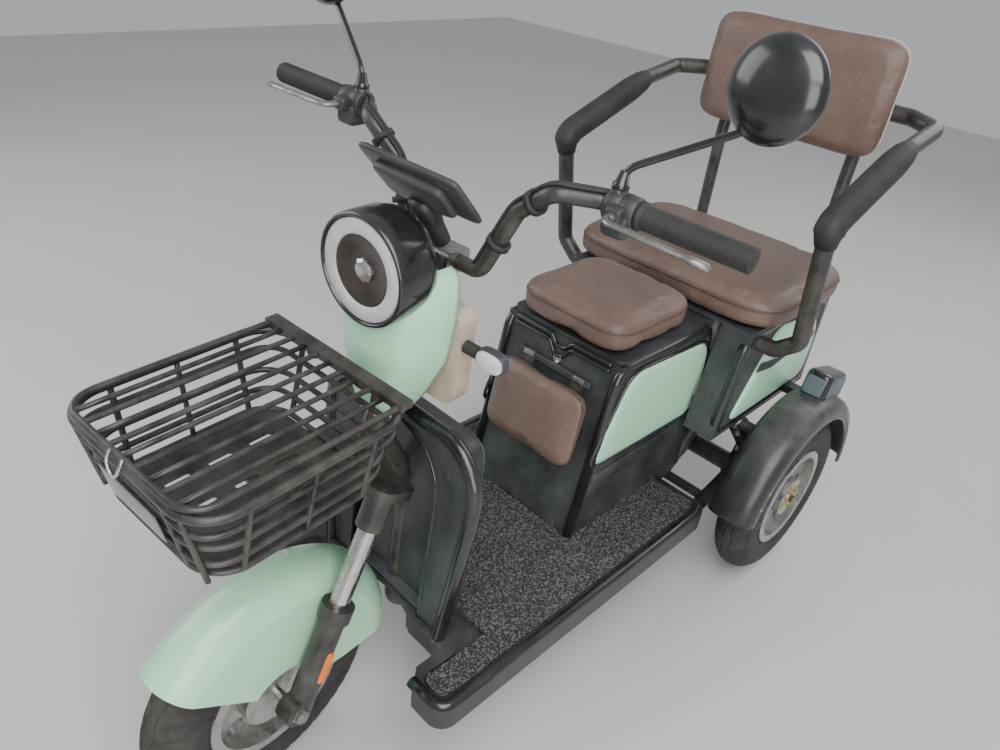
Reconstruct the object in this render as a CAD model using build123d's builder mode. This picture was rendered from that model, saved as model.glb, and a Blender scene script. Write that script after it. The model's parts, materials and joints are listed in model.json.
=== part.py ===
"""Three-wheeled leisure scooter: one steered front wheel, two rear wheels, box seat and rear bench.

Millimetres. Every place is first measured from the point on the floor under the rear axle:
X to the rider's left, Y to the rear, Z up. The finished pieces are then moved so that the
origin is at the middle of the whole vehicle, on the floor. The steering is turned a little
to the rider's left, as it is parked.
"""
import os
from math import cos, radians, sin

from build123d import *

# Wheels
WHEELBASE = 1080.0
TYRE_RADIUS = 192.0
TYRE_WIDTH = 80.0
TYRE_SHOULDER = 26.0
BEAD_RADIUS = 108.0
RIM_WIDTH = 62.0
RIM_WALL = 5.0
RIM_LIP = 6.0
HUB_RADIUS = 44.0
HUB_WIDTH = 72.0
SPOKE_SLOTS = 5
AXLE_RADIUS = 8.0
RUNNING_CLEARANCE = 0.05
HALF_TRACK = 298.0
GAP = 0.3

# Steering
RAKE = 24.0
STEER_TURN = 6.4
AXIS_BEHIND_AXLE = 45.0
LEG_BEHIND_AXLE = 10.0
LEG_HALF_GAP = 74.0
STANCHION_RADIUS = 15.0
SLIDER_RADIUS = 20.0
SLIDER_TOP = 352.0
CROWN_HEIGHT = 508.0
CROWN_THICKNESS = 16.0
COLUMN_RADIUS = 14.0
COLUMN_TOP = 806.0
HEAD_TUBE_RADIUS = 24.0
HEAD_TUBE_LOW = 540.0
HEAD_TUBE_HIGH = 600.0
FENDER_RADIUS = 230.0
FENDER_HALF_WIDTH = 50.0
FENDER_DROP = 44.0
FENDER_WALL = 3.0
FENDER_HEM_RADIUS = 60.0
# Side view of what the fender leaves open, from the wheel's centre: rearwards, up
FENDER_OPEN = (
    (-400, 372),
    (-129, 119),
    (-8, 8),
    (118, -13),
    (400, -20),
    (400, -400),
    (-400, -400),
)

# Head: lamp, mask and inner panel
LAMP_HEIGHT = 838.0
LAMP_FRONT = -908.0
LAMP_RADIUS = 78.0
LAMP_DEPTH = 88.0
LAMP_ARM = 792.0
RING_RADIUS = 72.0
LENS_RADIUS = 50.0
MASK_WALL = 4.0

# Basket
BASKET_HALF_WIDTH = 137.0
BASKET_FRONT = -1228.0
BASKET_REAR = -938.0
BASKET_TOP = 712.0
BASKET_FOOT = 602.0
BASKET_TAPER = 22.0
BASKET_CORNER = 48.0
RIM_WIRE = 6.0
WIRE = 4.0

# Handlebar
BAR_RADIUS = 11.0
GRIP_RADIUS = 16.0
GRIP_START = 256.0
BAR_END = 397.0
BAR_HEIGHT = 958.0
BAR_Y = -709.0

# Floor and leg shield
FLOOR_TOP = 237.0
FLOOR_HALF_WIDTH = 260.0
FLOOR_FRONT = -941.0
FLOOR_REAR = -228.0
FLOOR_DEPTH = 42.0
FLOOR_LIP = 20.0
FLOOR_SKIN = 5.0
FLOOR_SINK = 8.0
WHEEL_SWEEP = 238.0
NOTCH_HALF_WIDTH = 168.0
NOTCH_Y = -858.0
SHIELD_FOOT_Y = -846.0
SHIELD_TOP_Y = -812.0
SHIELD_TOP = 605.0
SHIELD_HALF_WIDTH = 184.0
SHIELD_FOOT_HALF = 156.0
SHIELD_HEIGHT = 376.0
ARCH_HALF_WIDTH = 95.0
ARCH_TOP = 339.0
KNEE_BEHIND = 50.0
SHIELD_START = 9.0
SHIELD_THICKNESS = 6.0
BEAD_TUBE = 13.0
MAT_THICKNESS = 12.0

# Seat box
BOX_HALF_WIDTH = 135.0
BOX_FRONT_FOOT = -521.0
BOX_FRONT_TOP = -450.0
BOX_REAR = -158.0
BOX_TOP = 586.0
BOX_WALL = 4.0
BOX_DECK = 24.0
PANEL_THICKNESS = 5.0
SEAT_HALF_WIDTH = 124.0
SEAT_LENGTH = 236.0
SEAT_THICKNESS = 68.0
LID_THICKNESS = 8.0
PAD_HALF_WIDTH = 108.0
PAD_TOP = 528.0
PAD_HEIGHT = 150.0
PAD_THICKNESS = 40.0
HINGE_PLATE = 8.0

# Rear body, bench and backrest
BODY_HALF_WIDTH = 216.0
BODY_FRONT = -163.0
BODY_FRONT_FOOT = -210.0
BODY_WALL = 4.0
BODY_REAR = 172.0
BODY_FLOOR = 372.0
BODY_TOP = 596.0
BIN_HALF_WIDTH = 150.0
BIN_FRONT = -154.0
BIN_REAR = -40.0
BIN_FOOT = 380.0
BIN_TOP = 591.7
BIN_BAND = 70.0
BIN_LIP = 8.0
BENCH_HALF_WIDTH = 245.0
BENCH_FRONT = -168.0
BENCH_REAR = 178.0
BENCH_THICKNESS = 68.0
BACK_HALF_WIDTH = 206.0
BACK_FOOT = 866.0
BACK_TOP = 1088.0
BACK_THICKNESS = 50.0
BACK_Y = 150.0
ARM_TUBE_RADIUS = 16.0
ARM_X = 288.0
ARM_FOOT = 566.0
LOOP_TOP = 955.0
LOOP_Y = 222.9
POST_Y = 212.0
PAD_TUBE_RADIUS = 27.0

# Rear axle and frame tubes
REAR_AXLE_RADIUS = 22.0
MOTOR_RADIUS = 70.0
MOTOR_WIDTH = 120.0
RAIL_RADIUS = 18.0
CROSS_RADIUS = 20.0
REAR_FENDER_RADIUS = 242.0
REAR_FENDER_INNER = 250.0
REAR_FENDER_OUTER = 350.0
REAR_FENDER_WALL = 4.0
REAR_FLANGE = 145.0
PIVOT_Y = -190.0
PIVOT_Z = 142.0
SHOCK_X = 200.0
SHOCK_TOP_Y = -64.0
SHOCK_TOP = 345.0
SHOCK_FOOT_Y = 26.0
SHOCK_FOOT = 244.0
SHOCK_EYE = 16.0
SHOCK_CORE = 13.0
SHOCK_RADIUS = 23.0
SHOCK_COILS = 7
EYE_PIN = 12.0

PAN = FLOOR_TOP - FLOOR_SINK
DOWN_TUBE_FOOT = SHIELD_FOOT_Y + 24
KNEE_FOOT = SHIELD_FOOT_Y + KNEE_BEHIND

rail_z = FLOOR_TOP - FLOOR_DEPTH - CROSS_RADIUS - GAP
DOWN_TUBE = ((0, -700, rail_z), (0, DOWN_TUBE_FOOT, rail_z), (0, -800, 430))

# Middle of the whole vehicle, measured from the rear axle
MIDDLE_Y = -514.5

FRONT_AXLE = Vector(0, -WHEELBASE, TYRE_RADIUS)
UP_LEG = Vector(0, sin(radians(RAKE)), cos(radians(RAKE)))
FORWARD = Vector(0, -cos(radians(RAKE)), sin(radians(RAKE)))
AXIS_POINT = FRONT_AXLE - FORWARD * AXIS_BEHIND_AXLE
LEG_POINT = FRONT_AXLE - FORWARD * LEG_BEHIND_AXLE
STEER_AXIS = Axis(AXIS_POINT, UP_LEG)

os.makedirs("parts", exist_ok=True)


def write(builder, name, steered=False):
    """Turn a steered piece with the fork, move it to the middle frame and write it."""
    piece = builder.part
    if steered:
        piece = piece.rotate(STEER_AXIS, STEER_TURN)
    piece = piece.moved(Location((0, -MIDDLE_Y, 0)))
    piece.label = name
    export_step(piece, f"parts/{name}.step")


def on_axis(height):
    """Point on the steering axis at a height over the floor."""
    return AXIS_POINT + UP_LEG * ((height - AXIS_POINT.Z) / UP_LEG.Z)


def on_leg(height, side):
    """Point on a fork leg's centre line at a height over the floor."""
    point = LEG_POINT + UP_LEG * ((height - LEG_POINT.Z) / UP_LEG.Z)
    return point + Vector(side * LEG_HALF_GAP, 0, 0)


def rod(start, end, radius, mode=Mode.ADD):
    """Round bar between two points, in the part in progress."""
    start = Vector(*start)
    end = Vector(*end)
    run = end - start
    with Locations(Plane(origin=start, z_dir=run)):
        Cylinder(radius, run.length, align=(Align.CENTER, Align.CENTER, Align.MIN), mode=mode)


def disc(x, y, z, radius, width, mode=Mode.ADD):
    """Round disc or hole lying across the vehicle, centred on x."""
    rod((x - width / 2, y, z), (x + width / 2, y, z), radius, mode)


def bent_bar(points, bend, radius, closed=False):
    """Round bar along straight runs with equal bends, in the part in progress."""
    with BuildLine() as route:
        FilletPolyline(*points, radius=bend, close=closed)
    path = route.wire()
    with BuildSketch(Plane(origin=path @ 0, z_dir=path % 0)) as section:
        Circle(radius)
    sweep(section.sketch, path=path)


def across(x, y, z):
    """Sketch plane whose x runs along X and whose y runs up."""
    return Plane(origin=(x, y, z), x_dir=(1, 0, 0), z_dir=(0, -1, 0))


def sideways(x):
    """Sketch plane whose x runs along Y and whose y runs up, facing +X."""
    return Plane(origin=(x, 0, 0), x_dir=(0, 1, 0), z_dir=(1, 0, 0))


def tyre(centre):
    """Tyre with a rounded crown and bulged walls, open at the bead."""
    half = TYRE_WIDTH / 2
    bead = RIM_WIDTH / 2
    shoulder = TYRE_RADIUS - TYRE_SHOULDER
    foot = BEAD_RADIUS + GAP
    lip = BEAD_RADIUS + RIM_LIP + 2
    with BuildPart() as part:
        with BuildSketch(across(*centre)):
            with BuildLine():
                ThreePointArc((-half, shoulder), (0, TYRE_RADIUS), (half, shoulder))
                ThreePointArc((half, shoulder), (half + 1, (shoulder + lip) / 2), (bead, lip))
                Polyline((bead, lip), (bead, foot), (-bead, foot), (-bead, lip))
                ThreePointArc((-bead, lip), (-half - 1, (shoulder + lip) / 2), (-half, shoulder))
            make_face()
        revolve(axis=Axis(centre, (1, 0, 0)))
    return part


def rim(centre, outer_side, drum_radius):
    """Cast wheel: flanged barrel, slotted spoke plate and a hub bored for the axle."""
    lip_out = RIM_WIDTH / 2 + RIM_LIP
    lip_in = RIM_WIDTH / 2 + 2 * GAP
    flange = BEAD_RADIUS + RIM_LIP
    barrel_in = BEAD_RADIUS - 2 * RIM_WALL
    barrel_out = BEAD_RADIUS - RIM_WALL
    with BuildPart() as part:
        with BuildSketch(across(*centre)):
            with BuildLine():
                Polyline(
                    (-lip_out, flange),
                    (-lip_out, barrel_in),
                    (lip_out, barrel_in),
                    (lip_out, flange),
                    (lip_in, flange),
                    (lip_in, barrel_out),
                    (-lip_in, barrel_out),
                    (-lip_in, flange),
                    close=True,
                )
            make_face()
        revolve(axis=Axis(centre, (1, 0, 0)))
        plate = Plane(
            origin=(centre[0] + outer_side * 8, centre[1], centre[2]), x_dir=(0, 1, 0), z_dir=(1, 0, 0)
        )
        with BuildSketch(plate):
            Circle(barrel_in + 1)
            with PolarLocations((barrel_in + drum_radius) / 2, SPOKE_SLOTS):
                SlotOverall(barrel_in - drum_radius - 10, 20, mode=Mode.SUBTRACT)
        extrude(amount=5, both=True)
        disc(centre[0], centre[1], centre[2], drum_radius, HUB_WIDTH)
        disc(centre[0], centre[1], centre[2], AXLE_RADIUS + RUNNING_CLEARANCE, 2 * HUB_WIDTH, Mode.SUBTRACT)
    return part


front_centre = tuple(FRONT_AXLE)
write(tyre(front_centre), "front_tyre", steered=True)
write(rim(front_centre, 1, HUB_RADIUS + 12), "front_rim", steered=True)
for side, word in ((1, "left"), (-1, "right")):
    rear_centre = (side * HALF_TRACK, 0.0, TYRE_RADIUS)
    write(tyre(rear_centre), f"rear_tyre_{word}")
    write(rim(rear_centre, side, HUB_RADIUS), f"rear_rim_{word}")

# Fork
with BuildPart() as front_axle:
    disc(0, front_centre[1], front_centre[2], AXLE_RADIUS, 2 * LEG_HALF_GAP + 50)
write(front_axle, "front_axle", steered=True)

with BuildPart() as fork_sliders:
    rod(on_leg(TYRE_RADIUS - 22, 1), on_leg(SLIDER_TOP, 1), SLIDER_RADIUS)
    rod(on_leg(SLIDER_TOP - 16, 1), on_leg(SLIDER_TOP + 6, 1), SLIDER_RADIUS + 5)
    disc(LEG_HALF_GAP, front_centre[1], front_centre[2], 22, 30)
    disc(LEG_HALF_GAP, front_centre[1], front_centre[2], AXLE_RADIUS + RUNNING_CLEARANCE, 80, Mode.SUBTRACT)
    rod(on_leg(SLIDER_TOP - 112, 1), on_leg(SLIDER_TOP + 40, 1), STANCHION_RADIUS + GAP, Mode.SUBTRACT)
    mirror(about=Plane.YZ)
write(fork_sliders, "fork_sliders", steered=True)

with BuildPart() as fork_stanchions:
    rod(on_leg(SLIDER_TOP - 111, 1), on_leg(CROWN_HEIGHT + 11, 1), STANCHION_RADIUS)
    mirror(about=Plane.YZ)
write(fork_stanchions, "fork_stanchions", steered=True)

with BuildPart() as steering_column:
    with BuildSketch(Plane(origin=on_axis(CROWN_HEIGHT), x_dir=(1, 0, 0), z_dir=UP_LEG)):
        with Locations((0, -(AXIS_BEHIND_AXLE - LEG_BEHIND_AXLE) / 2)):
            RectangleRounded(2 * LEG_HALF_GAP + 44, 76, 22)
    extrude(amount=CROWN_THICKNESS)
    rod(on_axis(CROWN_HEIGHT), on_axis(COLUMN_TOP), COLUMN_RADIUS)
    for side in (-1, 1):
        rod(on_leg(CROWN_HEIGHT - 30, side), on_leg(CROWN_HEIGHT + 22, side), STANCHION_RADIUS + 6)
        rod(on_leg(CROWN_HEIGHT - 40, side), on_leg(CROWN_HEIGHT + 12, side), STANCHION_RADIUS + GAP, Mode.SUBTRACT)
write(steering_column, "steering_column", steered=True)

# Front fender: a deep shell over the wheel, open in front, below and round the fork legs
with BuildPart() as front_fender:
    shoulder = FENDER_RADIUS - FENDER_DROP
    hem = FENDER_HEM_RADIUS
    inner = FENDER_HALF_WIDTH - FENDER_WALL
    with BuildSketch(across(*front_centre)):
        with BuildLine():
            Line((-FENDER_HALF_WIDTH, hem), (-FENDER_HALF_WIDTH, shoulder))
            ThreePointArc((-FENDER_HALF_WIDTH, shoulder), (0, FENDER_RADIUS), (FENDER_HALF_WIDTH, shoulder))
            Polyline((FENDER_HALF_WIDTH, shoulder), (FENDER_HALF_WIDTH, hem), (inner, hem), (inner, shoulder))
            ThreePointArc((inner, shoulder), (0, FENDER_RADIUS - FENDER_WALL), (-inner, shoulder))
            Polyline((-inner, shoulder), (-inner, hem), (-FENDER_HALF_WIDTH, hem))
        make_face()
    revolve(axis=Axis(front_centre, (1, 0, 0)))
    with BuildSketch(sideways(-200)):
        with Locations((front_centre[1], front_centre[2])):
            Polygon(*FENDER_OPEN, align=None)
    extrude(amount=400, mode=Mode.SUBTRACT)
    for side in (-1, 1):
        rod(on_leg(SLIDER_TOP - 18, side), on_leg(SLIDER_TOP + 8, side), SLIDER_RADIUS + 5 + GAP, Mode.SUBTRACT)
write(front_fender, "front_fender", steered=True)

# Headlamp drum, ring and lens
with BuildPart() as headlamp_shell:
    rod((0, LAMP_FRONT, LAMP_HEIGHT), (0, LAMP_FRONT + LAMP_DEPTH, LAMP_HEIGHT), LAMP_RADIUS)
    fillet(headlamp_shell.edges().filter_by(GeomType.CIRCLE).sort_by(Axis.Y)[-1], 24)
    rod((0, LAMP_FRONT, LAMP_HEIGHT), (0, LAMP_FRONT + 12, LAMP_HEIGHT), RING_RADIUS + GAP, Mode.SUBTRACT)
write(headlamp_shell, "headlamp_shell", steered=True)

with BuildPart() as headlamp_ring:
    rod((0, LAMP_FRONT + 2, LAMP_HEIGHT), (0, LAMP_FRONT + 12, LAMP_HEIGHT), RING_RADIUS)
    rod((0, LAMP_FRONT - 2, LAMP_HEIGHT), (0, LAMP_FRONT + 13, LAMP_HEIGHT), LENS_RADIUS + GAP, Mode.SUBTRACT)
write(headlamp_ring, "headlamp_ring", steered=True)

with BuildPart() as headlamp_lens:
    rod((0, LAMP_FRONT + 4, LAMP_HEIGHT), (0, LAMP_FRONT + 12, LAMP_HEIGHT), LENS_RADIUS)
write(headlamp_lens, "headlamp_lens", steered=True)

# Mask under the lamp: a shell that widens upwards and is cut round the lamp
# Columns: height, half width, front place, rear place
MASK_SECTIONS = (
    (608.0, 38.0, -884.0, -850.0),
    (640.0, 50.0, -892.0, -822.0),
    (700.0, 72.0, -900.0, -803.5),
    (790.0, 82.0, -896.0, -803.5),
    (846.0, 76.0, -872.0, -803.5),
)


def mask_body(inset, rear_extra):
    """Solid of the mask's outline, drawn in by an inset and drawn out at the rear."""
    with BuildPart() as part:
        for height, half, front, rear in MASK_SECTIONS:
            half = half - inset
            front = front + inset
            rear = rear + rear_extra
            middle = (front + rear) / 2
            with BuildSketch(Plane.XY.offset(height)):
                with BuildLine():
                    ThreePointArc((-half, middle), (0, front), (half, middle))
                    Polyline((half, middle), (half, rear), (-half, rear), (-half, middle))
                make_face()
        loft(ruled=True)
    return part.part


with BuildPart() as mask:
    add(mask_body(0, 0))
    add(mask_body(MASK_WALL, MASK_WALL), mode=Mode.SUBTRACT)
    rod((0, LAMP_FRONT - 9, LAMP_HEIGHT), (0, LAMP_FRONT + LAMP_DEPTH + 1, LAMP_HEIGHT), LAMP_RADIUS + GAP, Mode.SUBTRACT)
    rod(on_axis(560), on_axis(860), COLUMN_RADIUS + 4, Mode.SUBTRACT)
write(mask, "mask", steered=True)

with BuildPart() as lamp_bracket:
    with Locations((0, (LAMP_FRONT + LAMP_DEPTH + on_axis(LAMP_ARM).Y) / 2, LAMP_ARM)):
        Box(36, on_axis(LAMP_ARM).Y - LAMP_FRONT - LAMP_DEPTH - 2 * GAP, 14)
    rod(on_axis(560), on_axis(860), COLUMN_RADIUS + GAP, Mode.SUBTRACT)
write(lamp_bracket, "lamp_bracket", steered=True)

# Handlebar: swept tube on the column's head
bar_points = (
    (-BAR_END, BAR_Y, BAR_HEIGHT),
    (-204, BAR_Y, BAR_HEIGHT),
    (-160, BAR_Y - 42, BAR_HEIGHT + 4),
    (-108, BAR_Y - 34, BAR_HEIGHT - 40),
    (-66, on_axis(COLUMN_TOP + 12).Y, COLUMN_TOP + 12),
    (66, on_axis(COLUMN_TOP + 12).Y, COLUMN_TOP + 12),
    (108, BAR_Y - 34, BAR_HEIGHT - 40),
    (160, BAR_Y - 42, BAR_HEIGHT + 4),
    (204, BAR_Y, BAR_HEIGHT),
    (BAR_END, BAR_Y, BAR_HEIGHT),
)
with BuildPart() as handlebar:
    bent_bar(bar_points, 22, BAR_RADIUS)
write(handlebar, "handlebar", steered=True)

with BuildPart() as grips:
    for side in (-1, 1):
        rod((side * GRIP_START, BAR_Y, BAR_HEIGHT), (side * (BAR_END + 3), BAR_Y, BAR_HEIGHT), GRIP_RADIUS)
        rod((side * (GRIP_START - 1), BAR_Y, BAR_HEIGHT), (side * BAR_END, BAR_Y, BAR_HEIGHT), BAR_RADIUS + GAP, Mode.SUBTRACT)
write(grips, "grips", steered=True)

with BuildPart() as bar_clamp:
    head = on_axis(COLUMN_TOP)
    with Locations((0, head.Y + 4, COLUMN_TOP + 12)):
        Box(56, 46, 34)
    fillet(bar_clamp.edges().filter_by(Axis.X), 8)
    seat = on_axis(COLUMN_TOP + 12)
    rod((-40, seat.Y, seat.Z), (40, seat.Y, seat.Z), BAR_RADIUS + GAP, Mode.SUBTRACT)
    rod(on_axis(COLUMN_TOP - 40), on_axis(COLUMN_TOP) + UP_LEG * GAP, COLUMN_RADIUS + GAP, Mode.SUBTRACT)
write(bar_clamp, "bar_clamp", steered=True)

with BuildPart() as display:
    with BuildSketch(Plane(origin=(0, -818, 926), x_dir=(1, 0, 0), z_dir=(0, 0.73, 0.68))):
        RectangleRounded(172, 92, 20)
    extrude(amount=16)
    rod((0, -760, 841.8), (0, -800, 906), 12)
write(display, "display", steered=True)

# Mirrors on bent stalks
MIRROR_CENTRE = Vector(350, -668, 1120)
MIRROR_RADIUS = 56.0
with BuildPart() as mirrors:
    bent_bar(((222, BAR_Y, BAR_HEIGHT + 21), (224, BAR_Y + 2, BAR_HEIGHT + 46), (335, -662, 1074), (345, -668, 1108)), 8, 5)
    back = Plane(origin=MIRROR_CENTRE, z_dir=(0.15, 1, -0.1))
    with Locations(back):
        Cylinder(MIRROR_RADIUS, 14)
    mirror(about=Plane.YZ)
write(mirrors, "mirrors", steered=True)

with BuildPart() as switch_housings:
    rod((212, BAR_Y, BAR_HEIGHT), (GRIP_START - 1, BAR_Y, BAR_HEIGHT), 20)
    rod((180, BAR_Y, BAR_HEIGHT), (GRIP_START + 5, BAR_Y, BAR_HEIGHT), BAR_RADIUS + GAP, Mode.SUBTRACT)
    mirror(about=Plane.YZ)
write(switch_housings, "switch_housings", steered=True)

with BuildPart() as brake_levers:
    bent_bar(((234, BAR_Y - 20.9, BAR_HEIGHT), (238, BAR_Y - 54, BAR_HEIGHT), (372, BAR_Y - 46, BAR_HEIGHT - 6)), 12, 5)
    mirror(about=Plane.YZ)
write(brake_levers, "brake_levers", steered=True)

with BuildPart() as turn_signals:
    rod((85 + GAP, -787, 724), (122, -787, 724), 9)
    with Locations(Plane(origin=(138, -787, 724), z_dir=(0.1, -1, 0))):
        Cylinder(20, 22)
    mirror(about=Plane.YZ)
write(turn_signals, "turn_signals", steered=True)

with BuildPart() as inner_panel:
    with Locations((0, -786, 700)):
        Box(170, 34, 150)
    fillet(inner_panel.edges().filter_by(Axis.Y), 20)
    rod(on_axis(560), on_axis(860), COLUMN_RADIUS + GAP, Mode.SUBTRACT)
write(inner_panel, "inner_panel", steered=True)

# Basket of wire with a flat slotted floor
def basket_loop(height, inset, wire):
    """Closed rounded loop of wire at a height, pulled in from the rim by an inset."""
    half = BASKET_HALF_WIDTH - inset
    points = (
        (half, BASKET_FRONT + inset, height),
        (half, BASKET_REAR - inset, height),
        (-half, BASKET_REAR - inset, height),
        (-half, BASKET_FRONT + inset, height),
    )
    bent_bar(points, BASKET_CORNER, wire, closed=True)


with BuildPart() as basket_frame:
    basket_loop(BASKET_TOP, 0, RIM_WIRE)
    basket_loop((BASKET_TOP + BASKET_FOOT) / 2, BASKET_TAPER / 2, WIRE)
    basket_loop(BASKET_FOOT, BASKET_TAPER, WIRE)
    for y in (BASKET_FRONT + 60, BASKET_REAR - 60):
        for side in (-1, 1):
            rod((side * BASKET_HALF_WIDTH, y, BASKET_TOP), (side * (BASKET_HALF_WIDTH - BASKET_TAPER), y, BASKET_FOOT), WIRE)
    for x in (-70, 70):
        rod((x, BASKET_FRONT, BASKET_TOP), (x, BASKET_FRONT + BASKET_TAPER, BASKET_FOOT), WIRE)
        rod((x, BASKET_REAR, BASKET_TOP), (x, BASKET_REAR - BASKET_TAPER, BASKET_FOOT), WIRE)
write(basket_frame, "basket_frame", steered=True)

with BuildPart() as basket_floor:
    inner_half = BASKET_HALF_WIDTH - BASKET_TAPER - WIRE - 1
    length = BASKET_REAR - BASKET_FRONT - 2 * BASKET_TAPER - 2 * WIRE - 2
    with BuildSketch(Plane.XY.offset(BASKET_FOOT - WIRE)):
        with Locations((0, (BASKET_FRONT + BASKET_REAR) / 2)):
            RectangleRounded(2 * inner_half, length, BASKET_CORNER - WIRE - 1)
            with GridLocations(56, 60, 3, 3):
                SlotOverall(34, 8, rotation=90, mode=Mode.SUBTRACT)
    extrude(amount=3)
write(basket_floor, "basket_floor", steered=True)

LID_STRAP = 10.0
LID_LOOP_X = 46.0
LID_LOOP_WALL = 4.0
LID_LOOP_WIDTH = 10.0
LID_GAP = RIM_WIRE + WIRE + 2 * GAP
with BuildPart() as basket_lid:
    lid_height = BASKET_TOP + LID_GAP
    half = BASKET_HALF_WIDTH - 12
    front = BASKET_FRONT
    rear = BASKET_REAR - 6
    points = (
        (half, rear, lid_height),
        (half, front, lid_height),
        (-half, front, lid_height),
        (-half, rear, lid_height),
    )
    bent_bar(points, 36, WIRE)
    for x in (-75, -25, 25, 75):
        rod((x, front + 1, lid_height), (x, rear, lid_height), WIRE - 0.5)
    with Locations((0, rear, BASKET_TOP + RIM_WIRE + GAP + LID_STRAP / 2)):
        Box(2 * half + 12, 20, LID_STRAP)
    for x in (-LID_LOOP_X, LID_LOOP_X):
        disc(x, BASKET_REAR, BASKET_TOP, RIM_WIRE + LID_LOOP_WALL, LID_LOOP_WIDTH)
    disc(0, BASKET_REAR, BASKET_TOP, RIM_WIRE + RUNNING_CLEARANCE, 2 * half, Mode.SUBTRACT)
write(basket_lid, "basket_lid", steered=True)

with BuildPart() as basket_bracket:
    with Locations((0, -1000, BASKET_FOOT - WIRE - GAP - 3)):
        Box(60, 160, 6)
    rod((0, -934, BASKET_FOOT - 8), on_axis(CROWN_HEIGHT + 12) + FORWARD * 65.6, 10)
write(basket_bracket, "basket_bracket", steered=True)

# Floor tray: a rounded plate with a raised lip, notched for the front wheel
def floor_slab(low, thickness, inset, corner, mode=Mode.ADD):
    """Slab with the floor's outline, pulled in by an inset, with the notch in front."""
    half = FLOOR_HALF_WIDTH - inset
    notch = NOTCH_HALF_WIDTH + inset
    with BuildSketch(Plane.XY.offset(low)) as outline:
        with BuildLine():
            FilletPolyline(
                (notch, NOTCH_Y + inset),
                (notch, FLOOR_FRONT + inset),
                (half, FLOOR_FRONT + inset),
                (half, FLOOR_REAR - inset),
                (-half, FLOOR_REAR - inset),
                (-half, FLOOR_FRONT + inset),
                (-notch, FLOOR_FRONT + inset),
                (-notch, NOTCH_Y + inset),
                radius=corner,
                close=True,
            )
        make_face()
    extrude(outline.sketch, amount=thickness, mode=mode)


with BuildPart() as floorboard:
    floor_slab(FLOOR_TOP - FLOOR_DEPTH, FLOOR_DEPTH, 0, 30)
    floor_slab(PAN, 20, FLOOR_LIP, 18, Mode.SUBTRACT)
    floor_slab(FLOOR_TOP - FLOOR_DEPTH - 1, FLOOR_DEPTH - FLOOR_SINK - FLOOR_SKIN, FLOOR_SKIN, 26, Mode.SUBTRACT)
    with Locations((0, -WHEELBASE, PAN)):
        Cylinder(WHEEL_SWEEP, 200, mode=Mode.SUBTRACT)
    rod(DOWN_TUBE[1], DOWN_TUBE[2], RAIL_RADIUS + 3, Mode.SUBTRACT)
    with Locations((0, (BOX_FRONT_FOOT + BOX_REAR) / 2, PAN + 20)):
        Box(2 * BOX_HALF_WIDTH + 1, BOX_REAR - BOX_FRONT_FOOT + 1, 40, mode=Mode.SUBTRACT)
write(floorboard, "floorboard")

with BuildPart() as floor_mat:
    floor_slab(PAN, MAT_THICKNESS, FLOOR_LIP + 2, 16)
    with Locations((0, (BOX_FRONT_FOOT + BOX_REAR) / 2, PAN)):
        Box(2 * BOX_HALF_WIDTH + 1, BOX_REAR - BOX_FRONT_FOOT + 1, 60, mode=Mode.SUBTRACT)
    with Locations((0, KNEE_FOOT - 50, FLOOR_TOP)):
        Box(2 * NOTCH_HALF_WIDTH + 50, 114, 60, mode=Mode.SUBTRACT)
write(floor_mat, "floor_mat")

# Leg shield: leaning plate with a thick edge bead and an arch for the wheel
lean = Vector(0, SHIELD_TOP_Y - SHIELD_FOOT_Y, SHIELD_TOP - PAN).normalized()
shield_plane = Plane(origin=(0, SHIELD_FOOT_Y, PAN), x_dir=(1, 0, 0), z_dir=lean.cross(Vector(1, 0, 0)) * -1)


def shield_edge():
    """Outer edge of the shield from foot to foot, over the top."""
    shoulder = SHIELD_HEIGHT - 46
    return FilletPolyline(
        (-SHIELD_FOOT_HALF, SHIELD_START),
        (-SHIELD_HALF_WIDTH, 270),
        (-SHIELD_HALF_WIDTH, shoulder),
        (-SHIELD_HALF_WIDTH + 50, SHIELD_HEIGHT),
        (SHIELD_HALF_WIDTH - 50, SHIELD_HEIGHT),
        (SHIELD_HALF_WIDTH, shoulder),
        (SHIELD_HALF_WIDTH, 270),
        (SHIELD_FOOT_HALF, SHIELD_START),
        radius=20,
    )


with BuildPart() as leg_shield:
    with BuildSketch(shield_plane):
        with BuildLine():
            shield_edge()
            Line((SHIELD_FOOT_HALF, SHIELD_START), (-SHIELD_FOOT_HALF, SHIELD_START))
        make_face()
        with Locations((0, 90)):
            SlotOverall(2 * (ARCH_TOP - 90), 2 * ARCH_HALF_WIDTH, rotation=90, mode=Mode.SUBTRACT)
    extrude(amount=SHIELD_THICKNESS)
write(leg_shield, "leg_shield")

with BuildPart() as knee_panel:
    with BuildSketch(shield_plane.offset(-KNEE_BEHIND)):
        with Locations((0, SHIELD_HEIGHT / 2 + 1)):
            RectangleRounded(2 * SHIELD_FOOT_HALF, SHIELD_HEIGHT - 20, 24)
    extrude(amount=-5)
write(knee_panel, "knee_panel")

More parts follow.
